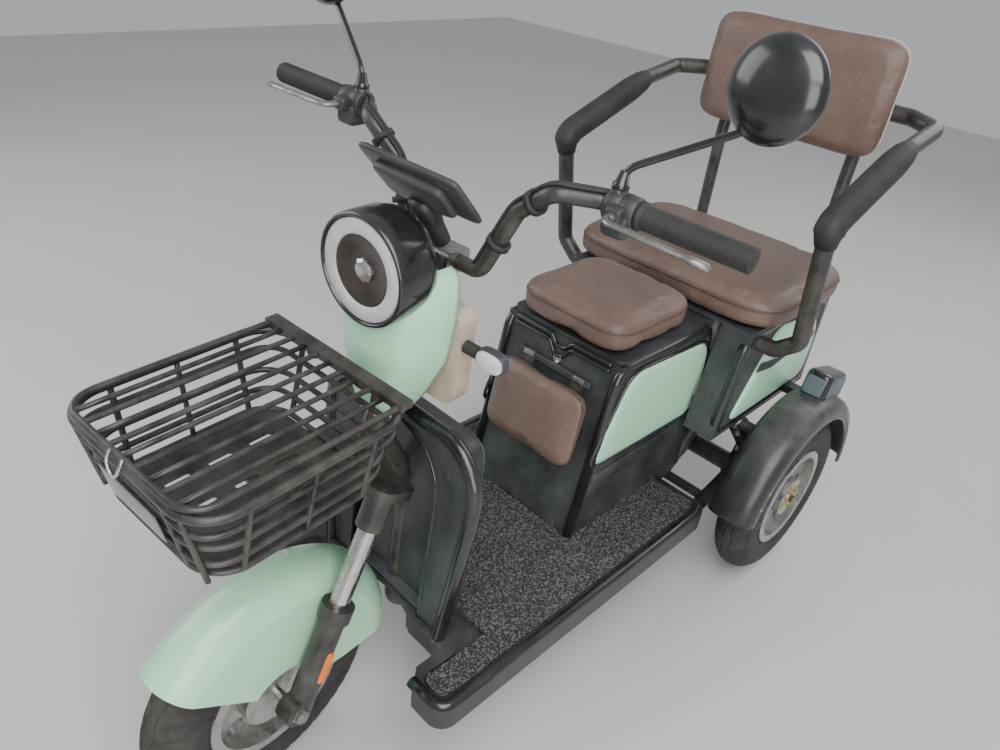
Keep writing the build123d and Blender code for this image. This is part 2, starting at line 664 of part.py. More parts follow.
# Chassis of round tube
with BuildPart() as chassis:
    head_low = on_axis(HEAD_TUBE_LOW)
    head_high = on_axis(HEAD_TUBE_HIGH)
    rod(head_low, head_high, HEAD_TUBE_RADIUS)
    bent_bar(
        (*DOWN_TUBE, (head_low + head_high) * 0.5),
        24,
        RAIL_RADIUS,
    )
    for side in (-1, 1):
        bent_bar(
            (
                (side * 90, -706, rail_z),
                (side * 90, -120, rail_z),
                (side * 120, -60, 330),
                (side * 120, 150, 345),
            ),
            30,
            RAIL_RADIUS - 2,
        )
    rod((-112, -706, rail_z), (112, -706, rail_z), CROSS_RADIUS)
    rod((-90, -440, rail_z), (90, -440, rail_z), RAIL_RADIUS - 4)
    rod((-120, 130, 343), (120, 130, 343), RAIL_RADIUS - 3)
    disc(0, SHOCK_TOP_Y, SHOCK_TOP, EYE_PIN, 2 * (REAR_FENDER_INNER - GAP))
    for side in (-1, 1):
        for y in (-620, -440, -280):
            with Locations((side * 90, y, rail_z)):
                Box(30, 30, PAN - FLOOR_SKIN - 1 - GAP - rail_z, align=(Align.CENTER, Align.CENTER, Align.MIN))
        for y in (0, 125):
            with Locations((side * 120, y, 345)):
                Box(34, 30, BODY_FLOOR - GAP - 345, align=(Align.CENTER, Align.CENTER, Align.MIN))
        rod((side * 90, PIVOT_Y, rail_z), (side * 90, PIVOT_Y, PIVOT_Z), 12)
    rod((-SHOCK_X - 20, PIVOT_Y, PIVOT_Z), (SHOCK_X + 20, PIVOT_Y, PIVOT_Z), EYE_PIN)
    rod(on_axis(HEAD_TUBE_LOW - 20), on_axis(HEAD_TUBE_HIGH + 20), COLUMN_RADIUS + RUNNING_CLEARANCE, Mode.SUBTRACT)
write(chassis, "chassis")

# Seat box: hollow moulding, open below the lid
with BuildPart() as seat_box:
    with BuildSketch(sideways(-BOX_HALF_WIDTH)):
        with BuildLine():
            Polyline(
                (BOX_FRONT_FOOT, PAN),
                (BOX_FRONT_TOP, BOX_TOP),
                (BOX_REAR, BOX_TOP),
                (BOX_REAR, PAN),
                close=True,
            )
        make_face()
    extrude(amount=2 * BOX_HALF_WIDTH)
    fillet(seat_box.edges().filter_by(Axis.Z), 18)
    offset(amount=-BOX_WALL, openings=seat_box.faces().sort_by(Axis.Z)[-1])
    with Locations((0, BOX_REAR - BOX_DECK / 2 - 1, BOX_TOP - BOX_WALL / 2)):
        Box(2 * BOX_HALF_WIDTH - BOX_WALL, BOX_DECK, BOX_WALL)
write(seat_box, "seat_box")

with BuildPart() as side_panels:
    with BuildSketch(sideways(BOX_HALF_WIDTH + GAP)):
        with BuildLine():
            FilletPolyline(
                (-500, 395), (-172, 385), (-158, 500), (-176, 552), (-417, 566),
                radius=22, close=True,
            )
        make_face()
    extrude(amount=PANEL_THICKNESS)
    mirror(about=Plane.YZ)
write(side_panels, "seat_box_panels")

LID_FRONT = BOX_FRONT_TOP + 2
LID_REAR = BOX_REAR - BOX_DECK
with BuildPart() as lid_plate:
    with Locations((0, (LID_FRONT + LID_REAR) / 2, BOX_TOP + GAP + LID_THICKNESS / 2)):
        Box(2 * BOX_HALF_WIDTH - 4, LID_REAR - LID_FRONT, LID_THICKNESS)
    fillet(lid_plate.edges().filter_by(Axis.Z), 20)
write(lid_plate, "seat_lid")

with BuildPart() as front_cushion:
    with Locations((0, -340, BOX_TOP + 2 * GAP + LID_THICKNESS + SEAT_THICKNESS / 2)):
        Box(2 * SEAT_HALF_WIDTH, SEAT_LENGTH, SEAT_THICKNESS)
    fillet(front_cushion.edges().filter_by(Axis.Z), 34)
    fillet(front_cushion.faces().sort_by(Axis.Z)[-1].edges(), 20)
write(front_cushion, "front_cushion")

slope = Vector(0, BOX_FRONT_TOP - BOX_FRONT_FOOT, BOX_TOP - FLOOR_TOP).normalized()
front_at = lambda z: BOX_FRONT_FOOT + (z - FLOOR_TOP) * slope.Y / slope.Z
pad_plane = Plane(origin=(0, front_at(PAD_TOP), PAD_TOP), x_dir=(1, 0, 0), z_dir=Vector(1, 0, 0).cross(slope))
with BuildPart() as pad_hinge:
    with BuildSketch(pad_plane.offset(GAP)):
        with Locations((-60, -8), (60, -8)):
            Rectangle(30, 36)
    extrude(amount=HINGE_PLATE)
write(pad_hinge, "pad_hinge")

with BuildPart() as front_pad:
    with BuildSketch(pad_plane.offset(HINGE_PLATE + 2 * GAP)):
        with Locations((0, -PAD_HEIGHT / 2 - 8)):
            RectangleRounded(2 * PAD_HALF_WIDTH, PAD_HEIGHT, 30)
    extrude(amount=PAD_THICKNESS)
    fillet(front_pad.faces().sort_by(Axis.Y)[0].edges(), 10)
write(front_pad, "front_pad")

with BuildPart() as battery:
    with Locations((0, -330, PAN + BOX_WALL + 85)):
        Box(200, 260, 170)
write(battery, "battery")

# Storage bin: a tapered tub with a wider band at its mouth
# Columns: foot height, height, how far it is drawn in, hollow or not
BIN_STEPS = (
    (BIN_FOOT, BIN_TOP - BIN_FOOT, BIN_LIP, Mode.ADD),
    (BIN_TOP - BIN_BAND, BIN_BAND, 0.0, Mode.ADD),
    (BIN_FOOT + BODY_WALL, BIN_TOP, BIN_LIP + BODY_WALL, Mode.SUBTRACT),
)
with BuildPart() as storage_bin:
    for low, height, inset, mode in BIN_STEPS:
        with BuildSketch(Plane.XY.offset(low)) as outline:
            with Locations((0, (BIN_FRONT + BIN_REAR) / 2)):
                RectangleRounded(2 * (BIN_HALF_WIDTH - inset), BIN_REAR - BIN_FRONT - 2 * inset, 24)
        extrude(outline.sketch, amount=height, mode=mode)
write(storage_bin, "storage_bin")

# Rear body, bench and backrest
with BuildPart() as rear_body:
    with BuildSketch(sideways(-BODY_HALF_WIDTH)):
        with BuildLine():
            Polyline(
                (BODY_FRONT_FOOT, BODY_FLOOR),
                (BODY_FRONT, BODY_TOP),
                (BODY_REAR, BODY_TOP),
                (BODY_REAR, BODY_FLOOR),
                close=True,
            )
        make_face()
    extrude(amount=2 * BODY_HALF_WIDTH)
    offset(amount=-BODY_WALL, openings=rear_body.faces().sort_by(Axis.Z)[0])
    with Locations((0, BIN_REAR + GAP, BODY_TOP - BODY_WALL)):
        Box(2 * BIN_HALF_WIDTH + 2 * GAP, 400, 400, align=(Align.CENTER, Align.MAX, Align.MAX), mode=Mode.SUBTRACT)
    for side in (-1, 1):
        for y in (0, 125):
            with Locations((side * 120, y, BODY_FLOOR)):
                Box(34, 30, BODY_TOP - BODY_FLOOR - 2, align=(Align.CENTER, Align.CENTER, Align.MIN))
        with Locations((side * (BODY_HALF_WIDTH - 2), 95, 382)):
            Box(2 * (REAR_FENDER_INNER - GAP - BODY_HALF_WIDTH + 2), 26, 18)
write(rear_body, "rear_body")

with BuildPart() as rear_panels:
    with BuildSketch(sideways(BODY_HALF_WIDTH + GAP)):
        with BuildLine():
            FilletPolyline(
                (-168, 398), (-56, 582), (118, 560), (150, 500), (143, 400),
                radius=18, close=True,
            )
        make_face()
    extrude(amount=8)
    mirror(about=Plane.YZ)
write(rear_panels, "rear_body_panels")

with BuildPart() as bench_cushion:
    with Locations((0, (BENCH_FRONT + BENCH_REAR) / 2, BODY_TOP + GAP + BENCH_THICKNESS / 2)):
        Box(2 * BENCH_HALF_WIDTH, BENCH_REAR - BENCH_FRONT, BENCH_THICKNESS)
    fillet(bench_cushion.edges().filter_by(Axis.Z), 50)
    fillet(bench_cushion.faces().sort_by(Axis.Z)[-1].edges(), 20)
write(bench_cushion, "bench_cushion")

back_lean = Vector(0, 0.07, 1).normalized()
back_plane = Plane(origin=(0, BACK_Y, BACK_FOOT), x_dir=(1, 0, 0), z_dir=Vector(1, 0, 0).cross(back_lean))
with BuildPart() as backrest:
    with BuildSketch(back_plane):
        with Locations((0, (BACK_TOP - BACK_FOOT) / 2)):
            RectangleRounded(2 * BACK_HALF_WIDTH, BACK_TOP - BACK_FOOT, 44)
    extrude(amount=-BACK_THICKNESS)
write(backrest, "backrest_cushion")

with BuildPart() as arm_tubes:
    bent_bar(
        (
            (60, LOOP_Y, LOOP_TOP),
            (230, LOOP_Y, LOOP_TOP),
            (ARM_X, LOOP_Y - 30, LOOP_TOP - 5),
            (ARM_X, 80, 930),
            (ARM_X, -168, 838),
            (ARM_X, -122, 600),
            (ARM_X - 40, -122, ARM_FOOT),
            (BODY_HALF_WIDTH + GAP, -122, ARM_FOOT),
        ),
        24,
        ARM_TUBE_RADIUS,
    )
    bent_bar(
        (
            (150, LOOP_Y, LOOP_TOP),
            (150, POST_Y, 800),
            (150, POST_Y, ARM_FOOT),
            (150, BODY_REAR + GAP, ARM_FOOT),
        ),
        18,
        ARM_TUBE_RADIUS - 3,
    )
    mirror(about=Plane.YZ)
    rod((-60, LOOP_Y, LOOP_TOP), (60, LOOP_Y, LOOP_TOP), ARM_TUBE_RADIUS)
write(arm_tubes, "arm_tubes")

with BuildPart() as rear_fenders:
    middle = (REAR_FENDER_INNER + REAR_FENDER_OUTER) / 2
    width = REAR_FENDER_OUTER - REAR_FENDER_INNER
    disc(middle, 0, TYRE_RADIUS, REAR_FENDER_RADIUS, width)
    disc(middle, 0, TYRE_RADIUS, REAR_FENDER_RADIUS - REAR_FENDER_WALL, width - 2 * REAR_FENDER_WALL, Mode.SUBTRACT)
    disc(REAR_FENDER_OUTER, 0, TYRE_RADIUS, TYRE_RADIUS + 8, 2 * (width - REAR_FENDER_WALL), Mode.SUBTRACT)
    disc(middle, 0, TYRE_RADIUS, REAR_FLANGE, width + 10, Mode.SUBTRACT)
    with Locations((middle, -200, 240 - 200)):
        Box(width + 10, 400, 400, mode=Mode.SUBTRACT)
    with Locations((middle, 200, 200 - 200)):
        Box(width + 10, 400, 400, mode=Mode.SUBTRACT)
    mirror(about=Plane.YZ)
write(rear_fenders, "rear_fenders")

with BuildPart() as rear_axle:
    disc(0, 0, TYRE_RADIUS, REAR_AXLE_RADIUS, 2 * (HALF_TRACK - HUB_WIDTH / 2 - 5))
    disc(0, 0, TYRE_RADIUS, MOTOR_RADIUS, MOTOR_WIDTH)
    disc(0, 0, TYRE_RADIUS, AXLE_RADIUS, 2 * (HALF_TRACK + HUB_WIDTH / 2 + 10))
write(rear_axle, "rear_axle")

# Swing arms from the chassis pin to the axle, and a coil shock above each
shock_foot = (SHOCK_FOOT_Y, SHOCK_FOOT)
with BuildPart() as swing_arm:
    rod((-SHOCK_X, -100, 148), (SHOCK_X, -100, 148), 11)
    for side in (-1, 1):
        x = side * SHOCK_X
        rod((x, PIVOT_Y, PIVOT_Z), (x, 0, TYRE_RADIUS), 15)
        disc(x, PIVOT_Y, PIVOT_Z, 22, 28)
        disc(x, 0, TYRE_RADIUS, REAR_AXLE_RADIUS + 10, 36)
        for off in (-16, 16):
            with BuildSketch(sideways(x + off - 2)) as ear:
                with Locations((SHOCK_FOOT_Y / 2, (TYRE_RADIUS + SHOCK_FOOT) / 2)):
                    SlotOverall(92, 32, rotation=64)
            extrude(ear.sketch, amount=4)
        disc(x, SHOCK_FOOT_Y, SHOCK_FOOT, EYE_PIN - 4, 40)
    disc(0, PIVOT_Y, PIVOT_Z, EYE_PIN + RUNNING_CLEARANCE, 600, Mode.SUBTRACT)
    disc(0, 0, TYRE_RADIUS, REAR_AXLE_RADIUS + GAP, 600, Mode.SUBTRACT)
write(swing_arm, "swing_arm")

with BuildPart() as shocks:
    foot = Vector(SHOCK_X, SHOCK_FOOT_Y, SHOCK_FOOT)
    head = Vector(SHOCK_X, SHOCK_TOP_Y, SHOCK_TOP)
    run = (head - foot).normalized()
    length = (head - foot).length
    coil_length = length - 2 * SHOCK_EYE - 16
    pitch = coil_length / SHOCK_COILS
    side_plane = Plane(origin=foot, x_dir=(1, 0, 0), z_dir=run.cross(Vector(1, 0, 0)) * -1)
    with BuildSketch(side_plane):
        with BuildLine():
            coils = [(0, SHOCK_EYE), (SHOCK_CORE, SHOCK_EYE)]
            for coil in range(SHOCK_COILS):
                start = SHOCK_EYE + 8 + coil * pitch
                coils.append((SHOCK_CORE, start))
                coils.append((SHOCK_RADIUS, start + pitch * 0.3))
                coils.append((SHOCK_RADIUS, start + pitch * 0.6))
                coils.append((SHOCK_CORE, start + pitch * 0.85))
            coils.append((SHOCK_CORE, length - SHOCK_EYE))
            coils.append((0, length - SHOCK_EYE))
            Polyline(*coils, close=True)
        make_face()
    revolve(axis=Axis(foot, run))
    for eye, pin in ((foot, EYE_PIN - 4), (head, EYE_PIN)):
        disc(eye.X, eye.Y, eye.Z, SHOCK_EYE + 2, 24)
        disc(eye.X, eye.Y, eye.Z, pin + RUNNING_CLEARANCE, 60, Mode.SUBTRACT)
    mirror(about=Plane.YZ)
write(shocks, "rear_shocks")
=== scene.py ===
"""Looks of a three-wheeled leisure scooter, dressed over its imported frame.

Metres. Most places are first measured from the point on the floor under the rear axle, with the
steering straight: X to the rider's left, Y to the rear, Z up. here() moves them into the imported
frame and steered() turns them with the parked steering. A node whose shape is right keeps its mesh
and gets a finish. The others are replaced by rounder pieces, and small hardware is added.
"""

import json
from functools import partial
from math import cos, pi, radians, sin

import bmesh
import bpy
import numpy as np
from mathutils import Matrix, Vector


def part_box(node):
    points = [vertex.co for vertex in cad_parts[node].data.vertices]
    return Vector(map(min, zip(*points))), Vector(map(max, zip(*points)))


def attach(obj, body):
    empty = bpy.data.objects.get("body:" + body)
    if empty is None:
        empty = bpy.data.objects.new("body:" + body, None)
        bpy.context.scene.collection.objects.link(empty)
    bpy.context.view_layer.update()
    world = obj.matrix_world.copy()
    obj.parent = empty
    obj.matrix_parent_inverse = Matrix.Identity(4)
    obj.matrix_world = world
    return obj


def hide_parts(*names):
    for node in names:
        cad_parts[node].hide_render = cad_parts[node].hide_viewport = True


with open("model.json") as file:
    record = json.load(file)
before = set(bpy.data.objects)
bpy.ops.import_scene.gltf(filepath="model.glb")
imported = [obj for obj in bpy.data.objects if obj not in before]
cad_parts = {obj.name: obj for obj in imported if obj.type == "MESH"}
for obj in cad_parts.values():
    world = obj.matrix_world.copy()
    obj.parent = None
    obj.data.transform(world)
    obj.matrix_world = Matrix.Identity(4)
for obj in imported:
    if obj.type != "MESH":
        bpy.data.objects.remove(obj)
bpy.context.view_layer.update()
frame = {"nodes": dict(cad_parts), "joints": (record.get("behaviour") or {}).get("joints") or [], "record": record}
scene = bpy.context.scene

PARKED_TURN = radians(6.4)
steering = next(joint for joint in frame["joints"] if joint["name"] == "steering")
axle_low, axle_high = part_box("rear_axle")
AXLE_Y = (axle_low.y + axle_high.y) / 2

LEFT = (1.0, 0.0, 0.0)
REARWARD = (0.0, 1.0, 0.0)
UPWARD = (0.0, 0.0, 1.0)


# Places
def here(points):
    """Points measured from the floor under the rear axle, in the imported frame."""
    return np.asarray(points, float) + (0.0, AXLE_Y, 0.0)


def steered(points):
    """Points measured with straight steering, turned about the steering axis by the parked turn."""
    axis = np.array(steering["axis"], float)
    arm = here(points) - steering["pos_m"]
    along = (arm @ axis)[..., None] * axis
    turned = arm * cos(PARKED_TURN) + np.cross(axis, arm) * sin(PARKED_TURN)
    return turned + along * (1 - cos(PARKED_TURN)) + steering["pos_m"]


# Lines and small sums
def unit(vector):
    """Vector of length one."""
    vector = np.asarray(vector, float)
    return vector / np.linalg.norm(vector)


def signed_power(wave, power):
    """Size of a wave raised to a power, with the wave's own sign."""
    return np.sign(wave) * np.abs(wave) ** power


def read_off(places, pairs):
    """Values at places, on straight lines between (place, value) pairs."""
    return np.interp(places, *np.array(pairs, float).T)


def rounded(points, steps=12):
    """Clamped cubic B-spline led by a short list of control points, as a row of points."""
    control = np.asarray(points, float)
    control = np.vstack([control[:1], control[:1], control, control[-1:], control[-1:]])
    t = np.linspace(0, 1, steps, endpoint=False)[:, None]
    weights = np.hstack([(1 - t) ** 3, 3 * t**3 - 6 * t**2 + 4, -3 * t**3 + 3 * t**2 + 3 * t + 1, t**3]) / 6
    spans = np.stack([control[i : i + 4] for i in range(len(control) - 3)])
    return np.vstack([(weights @ spans).reshape(-1, 3), control[-1:]])


def filleted(corners, bend, steps=9, closed=False):
    """Straight runs between corners, each cut by a quadratic arc that starts a bend's length away."""
    corners = np.asarray(corners, float)
    before = np.roll(corners, 1, axis=0)
    after = np.roll(corners, -1, axis=0)
    t = np.linspace(0, 1, steps)[:, None]
    turned = []
    for first, corner, last in zip(before, corners, after):
        start = corner + unit(first - corner) * min(bend, 0.49 * np.linalg.norm(first - corner))
        end = corner + unit(last - corner) * min(bend, 0.49 * np.linalg.norm(last - corner))
        turned.append((1 - t) ** 2 * start + 2 * t * (1 - t) * corner + t**2 * end)
    if not closed:
        turned[0], turned[-1] = corners[:1], corners[-1:]
    return np.vstack(turned)


def square_to(tangent, up):
    """Unit vectors sideways from tangents: tangent x up, as one row for each tangent."""
    side = np.cross(tangent, up)
    return side / np.linalg.norm(side, axis=1, keepdims=True)


def tangents(path, closed=False):
    """Unit tangents of a path, one row each."""
    step = np.roll(path, -1, axis=0) - np.roll(path, 1, axis=0) if closed else np.gradient(path, axis=0)
    return step / np.linalg.norm(step, axis=1, keepdims=True)


def turns(count):
    """Angles of even steps round a circle."""
    return np.linspace(0, 2 * pi, count, endpoint=False)


def beside(path, distance, turn):
    """Path moved sideways by a distance, at a turn round its own tangent."""
    tangent = tangents(path)
    side = square_to(tangent, REARWARD)
    return path + distance * (side * cos(turn) + np.cross(side, tangent) * sin(turn))


# Shapes: each is a grid of points, then whether its rows and whether its columns close into a loop
def tube(path, radius, sides=14, up=UPWARD, flat=1.0, closed=False):
    """Circle, or an ellipse flat times as high, carried square to a path: shut at its ends, or a loop."""
    path = np.asarray(path, float)
    tangent = tangents(path, closed)
    side = square_to(tangent, up)
    lift = np.cross(side, tangent) * flat
    if not closed:
        radius = np.pad(np.broadcast_to(np.asarray(radius, float), len(path)), 1)
        path, side, lift = (np.pad(line, ((1, 1), (0, 0)), "edge") for line in (path, side, lift))
    angle = turns(sides)[:, None]
    ring = side[:, None] * np.cos(angle) + lift[:, None] * np.sin(angle)
    return path[:, None] + ring * np.reshape(radius, (-1, 1, 1)), closed, True


def revolved(profile, centre, axis, steps=48, hollow=False):
    """Profile of (along, out) pairs turned about an axis; a hollow one joins its last pair to its first."""
    axis = unit(axis)
    across = np.cross(axis, REARWARD if abs(axis[2]) > 0.999 else UPWARD)
    across = across / np.linalg.norm(across)
    lift = np.cross(axis, across)
    along, out = np.asarray(profile, float).T
    angle = turns(steps)[:, None]
    spoke = np.cos(angle) * across + np.sin(angle) * lift
    grid = np.asarray(centre, float) + along[None, :, None] * axis + spoke[:, None] * out[None, :, None]
    return grid, True, hollow


def slab_grid(half, plan, edge, rows, columns):
    """Superellipsoid: plan outline |x|^plan + |y|^plan = 1, side outline of power edge."""
    lat = np.linspace(-pi / 2, pi / 2, rows)[:, None]
    lon = turns(columns)
    ring = np.abs(np.cos(lat)) ** (2 / edge)
    x = ring * signed_power(np.cos(lon), 2 / plan) * half[0]
    y = ring * signed_power(np.sin(lon), 2 / plan) * half[1]
    z = signed_power(np.sin(lat), 2 / edge) * half[2]
    return np.stack([x, y, np.broadcast_to(z, x.shape)], -1)


def block(centre, right, up, half, plan=7.0, edge=5.0, rows=16, columns=48):
    """Superellipsoid slab on a centre, its half sizes along right, along up and square to both."""
    right = unit(right)
    up = unit(up)
    points = slab_grid(half, plan, edge, rows, columns)
    grid = np.asarray(centre) + points[..., :1] * right + points[..., 1:2] * up
    return grid + points[..., 2:] * np.cross(right, up), False, True


def crowned(outline, base, thick):
    """Panel over a closed outline of (y, z), with a flat back, that thins from its middle to its edge."""
    middle = outline.mean(axis=0)
    share_and_rise = (
        (0.0, 1.0), (0.35, 0.99), (0.65, 0.96), (0.85, 0.88), (0.93, 0.78),
        (0.97, 0.62), (0.99, 0.42), (1.0, 0.2), (1.0, 0.0), (0.0, 0.0),
    )
    share, rise = np.array(share_and_rise).T
    flat = middle + share[:, None, None] * (outline - middle)
    out = np.broadcast_to((base + rise * thick)[:, None, None], flat[..., :1].shape)
    return np.concatenate([out, flat], axis=-1), False, True


def walled(outer, inner):
    """Wall between an outer and an inner grid, its first and last rows shut along their middle."""
    between = (outer + inner) / 2
    around = np.concatenate([outer, inner[:, ::-1]], axis=1)
    rim = np.concatenate([between, between[:, ::-1]], axis=1)
    return np.concatenate([rim[:1], around, rim[-1:]]), False, True


def both(shapes):
    """Shapes and their mirror images across the middle."""
    return [*shapes, *((grid * (-1.0, 1.0, 1.0), rows, columns) for grid, rows, columns in shapes)]


# Meshes and pieces
def shell(points, loop_rows=False, loop_columns=False):
    """Vertices and faces of a grid of points, joined end to start in the directions that loop."""
    rows, columns = points.shape[:2]
    index = np.arange(rows * columns).reshape(rows, columns)
    if loop_rows:
        index = np.vstack([index, index[:1]])
    if loop_columns:
        index = np.hstack([index, index[:, :1]])
    corners = (index[:-1, :-1], index[1:, :-1], index[1:, 1:], index[:-1, 1:])
    return points.reshape(-1, 3), np.stack(corners, -1).reshape(-1, 4)


def mesh_of(name, shells, smooth=True):
    """One object from several shells, doubles merged and faces turned outwards."""
    starts = np.cumsum([0] + [len(vertices) for vertices, _ in shells])
    vertices = np.vstack([vertices for vertices, _ in shells])
    faces = np.vstack([faces + start for (_, faces), start in zip(shells, starts)])
    mesh = bpy.data.meshes.new(name)
    mesh.from_pydata(vertices.tolist(), [], faces.tolist())
    work = bmesh.new()
    work.from_mesh(mesh)
    bmesh.ops.remove_doubles(work, verts=work.verts, dist=1e-6)
    bmesh.ops.dissolve_degenerate(work, edges=work.edges, dist=1e-7)
    bmesh.ops.recalc_face_normals(work, faces=work.faces)
    work.to_mesh(mesh)
    work.free()
    mesh.polygons.foreach_set("use_smooth", np.full(len(mesh.polygons), smooth))
    piece = bpy.data.objects.new(name, mesh)
    scene.collection.objects.link(piece)
    return piece


def dress(piece, body, slot, replaces=(), finish=None):
    """Gives a piece its finish, its slot's unless one is given, sets it on a body and hides the nodes it stands
    for.
    """
    piece.data.materials.clear()
    piece.data.materials.append(finish or FINISHES[slot])
    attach(piece, body)
    if replaces:
        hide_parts(*replaces)
    return piece


def fixed_piece(name, shapes, slot, replaces=(), finish=None, body="frame", smooth=True, place=here):
    """Piece from shapes that doesn't turn with the steering, its points moved by place()."""
    shells = [(place(vertices), faces) for vertices, faces in (shell(*shape) for shape in shapes)]
    return dress(mesh_of(name, shells, smooth), body, slot, replaces, finish)


steered_piece = partial(fixed_piece, body="steering", place=steered)


# Finishes
class Signal:
    """A shader socket; arithmetic on it adds Math nodes."""

    def __init__(self, finish, socket):
        self.finish = finish
        self.socket = socket

    def _math(self, operation, first, second):
        return self.finish.add("ShaderNodeMath", {"operation": operation}, {0: first, 1: second})

    def __add__(self, other):
        return self._math("ADD", self, other)

    def __mul__(self, other):
        return self._math("MULTIPLY", self, other)

    def __rsub__(self, other):
        return self._math("SUBTRACT", other, self)


class Finish:
    """A material on one Principled shader, whose patterns read Object coordinates."""

    def __init__(self, name, **plain):
        self.material = bpy.data.materials.new(name)
        self.material.use_nodes = True
        self.tree = self.material.node_tree
        self.shader = self.tree.nodes["Principled BSDF"]
        self.place = self.add("ShaderNodeTexCoord", {}, {}, "Object")
        for socket, value in plain.items():
            self.shader.inputs[socket.replace("_", " ")].default_value = value

    def add(self, kind, settings, inputs, output=0):
        """Signal of a new node, given its type, its settings and its sockets' values or links."""
        node = self.tree.nodes.new(kind)
        for name, value in settings.items():
            setattr(node, name, value)
        for name, value in inputs.items():
            self.feed(node.inputs[name], value)
        return Signal(self, node.outputs[output])

    def feed(self, socket, value):
        """Links a signal to a socket, or sets a plain value on it."""
        if isinstance(value, Signal):
            self.tree.links.new(value.socket, socket)
        else:
            socket.default_value = value

    def noise(self, scale, detail=3.0, roughness=0.5, stretch=(1, 1, 1)):
        """Cloudy noise with a number of blobs to the metre."""
        place = self.add("ShaderNodeMapping", {}, {"Vector": self.place, "Scale": stretch})
        inputs = {"Vector": place, "Scale": scale, "Detail": detail, "Roughness": roughness}
        return self.add("ShaderNodeTexNoise", {}, inputs)

    def cells(self, scale):
        """Distance to the nearest of scattered points, for a pebbled grain."""
        return self.add("ShaderNodeTexVoronoi", {}, {"Vector": self.place, "Scale": scale})

    def between(self, value, low, high):
        """0 below low, 1 above high, straight between them."""
        return self.add("ShaderNodeMapRange", {}, {"Value": value, "From Min": low, "From Max": high})

    def blend(self, factor, first, second):
        """Mix of two colours; a plain colour is three numbers."""
        first, second = ((*tone, 1.0) if isinstance(tone, tuple) else tone for tone in (first, second))
        return self.add("ShaderNodeMix", {"data_type": "RGBA"}, {0: factor, 6: first, 7: second}, 2)

    def set(self, **signals):
        """Feeds the shader's sockets, named with underlines for spaces."""
        for socket, value in signals.items():
            self.feed(self.shader.inputs[socket.replace("_", " ")], value)
        return self

    def bump(self, height, strength, distance):
        """Bump of a height signal, the last one over the ones before it."""
        inputs = {"Height": height, "Strength": strength, "Distance": distance}
        if self.shader.inputs["Normal"].is_linked:
            inputs["Normal"] = Signal(self, self.shader.inputs["Normal"].links[0].from_socket)
        return self.set(Normal=self.add("ShaderNodeBump", {}, inputs))


def mint_gloss():
    """Mint plastic with clear coat, faint marbling, dust and a few brown specks."""
    mint = Finish("mint_gloss", Roughness=0.3, Coat_Weight=0.5, Coat_Roughness=0.12)
    cloud = mint.noise(9, 3)
    colour = mint.blend(cloud, (0.4, 0.76, 0.5), (0.48, 0.83, 0.57))
    grime = mint.between(mint.noise(38, 6, 0.7), 0.62, 0.82) * 0.35
    colour = mint.blend(grime, colour, (0.3, 0.33, 0.22))
    mint.set(Base_Color=colour, Roughness=mint.between(cloud, 0.2, 0.9) * 0.16 + 0.24)
    return mint.bump(mint.noise(14, 2), 0.05, 0.002).material


def moulded_black():
    """Black moulded plastic, finely pebbled, with grey dust and pale scuffs."""
    tint = (0.028, 0.03, 0.031)
    black = Finish("moulded_black")
    dust = black.between(black.noise(7, 5, 0.65), 0.42, 0.75)
    colour = black.blend(dust * 0.5, tint, tuple(4.0 * c + 0.01 for c in tint))
    scuff = black.between(black.noise(60, 4, 0.6, (1, 1, 0.25)), 0.66, 0.76) * 0.3
    colour = black.blend(scuff, colour, (0.22, 0.22, 0.21))
    black.set(Base_Color=colour, Roughness=dust * 0.22 + 0.4)
    return black.bump(black.noise(900, 2), 0.12, 0.0004).material


def black_enamel():
    """Black painted tube with rust freckles and rubbed dusty film."""
    enamel = Finish("black_enamel", Coat_Weight=0.15, Coat_Roughness=0.3)
    film = enamel.between(enamel.noise(22, 5, 0.6), 0.35, 0.75)
    rust = enamel.between(enamel.noise(120, 5, 0.7), 0.66, 0.74)
    colour = enamel.blend(film, (0.02, 0.019, 0.018), (0.085, 0.075, 0.065))
    colour = enamel.blend(rust * 0.6, colour, (0.2, 0.085, 0.035))
    enamel.set(Base_Color=colour, Roughness=film * 0.3 + 0.28)
    return enamel.bump(rust, 0.25, 0.0006).material


def rusty_chrome():
    """Chrome tube with brown pitting that gathers in patches."""
    chrome = Finish("rusty_chrome")
    patch = chrome.between(chrome.noise(26, 4, 0.6), 0.45, 0.62)
    pits = chrome.between(chrome.noise(320, 4, 0.7), 0.48, 0.6) * patch
    colour = chrome.blend(pits, (0.62, 0.61, 0.6), (0.26, 0.12, 0.06))
    chrome.set(Base_Color=colour, Metallic=1.0 - pits * 0.85, Roughness=pits * 0.5 + 0.14)
    return chrome.bump(pits, 0.3, 0.0005).material


def dirty_alloy(name, colour=(0.52, 0.52, 0.5)):
    """Cast or galvanised metal with brown-black dirt."""
    alloy = Finish(name)
    dirt = alloy.between(alloy.noise(34, 6, 0.7), 0.45, 0.72)
    alloy.set(
        Base_Color=alloy.blend(dirt * 0.8, colour, (0.06, 0.05, 0.04)),
        Metallic=1.0 - dirt * 0.7,
        Roughness=dirt * 0.4 + 0.3,
    )
    return alloy.bump(alloy.noise(420, 3), 0.12, 0.0006).material


def tyre_rubber():
    """Black rubber, brown-grey with road dust."""
    rubber = Finish("tyre_rubber", Specular_IOR_Level=0.35)
    dust = rubber.between(rubber.noise(16, 6, 0.7), 0.35, 0.75)
    colour = rubber.blend(dust, (0.016, 0.016, 0.016), (0.075, 0.068, 0.06))
    rubber.set(Base_Color=colour, Roughness=dust * 0.2 + 0.62)
    return rubber.bump(rubber.noise(700, 3), 0.2, 0.0005).material


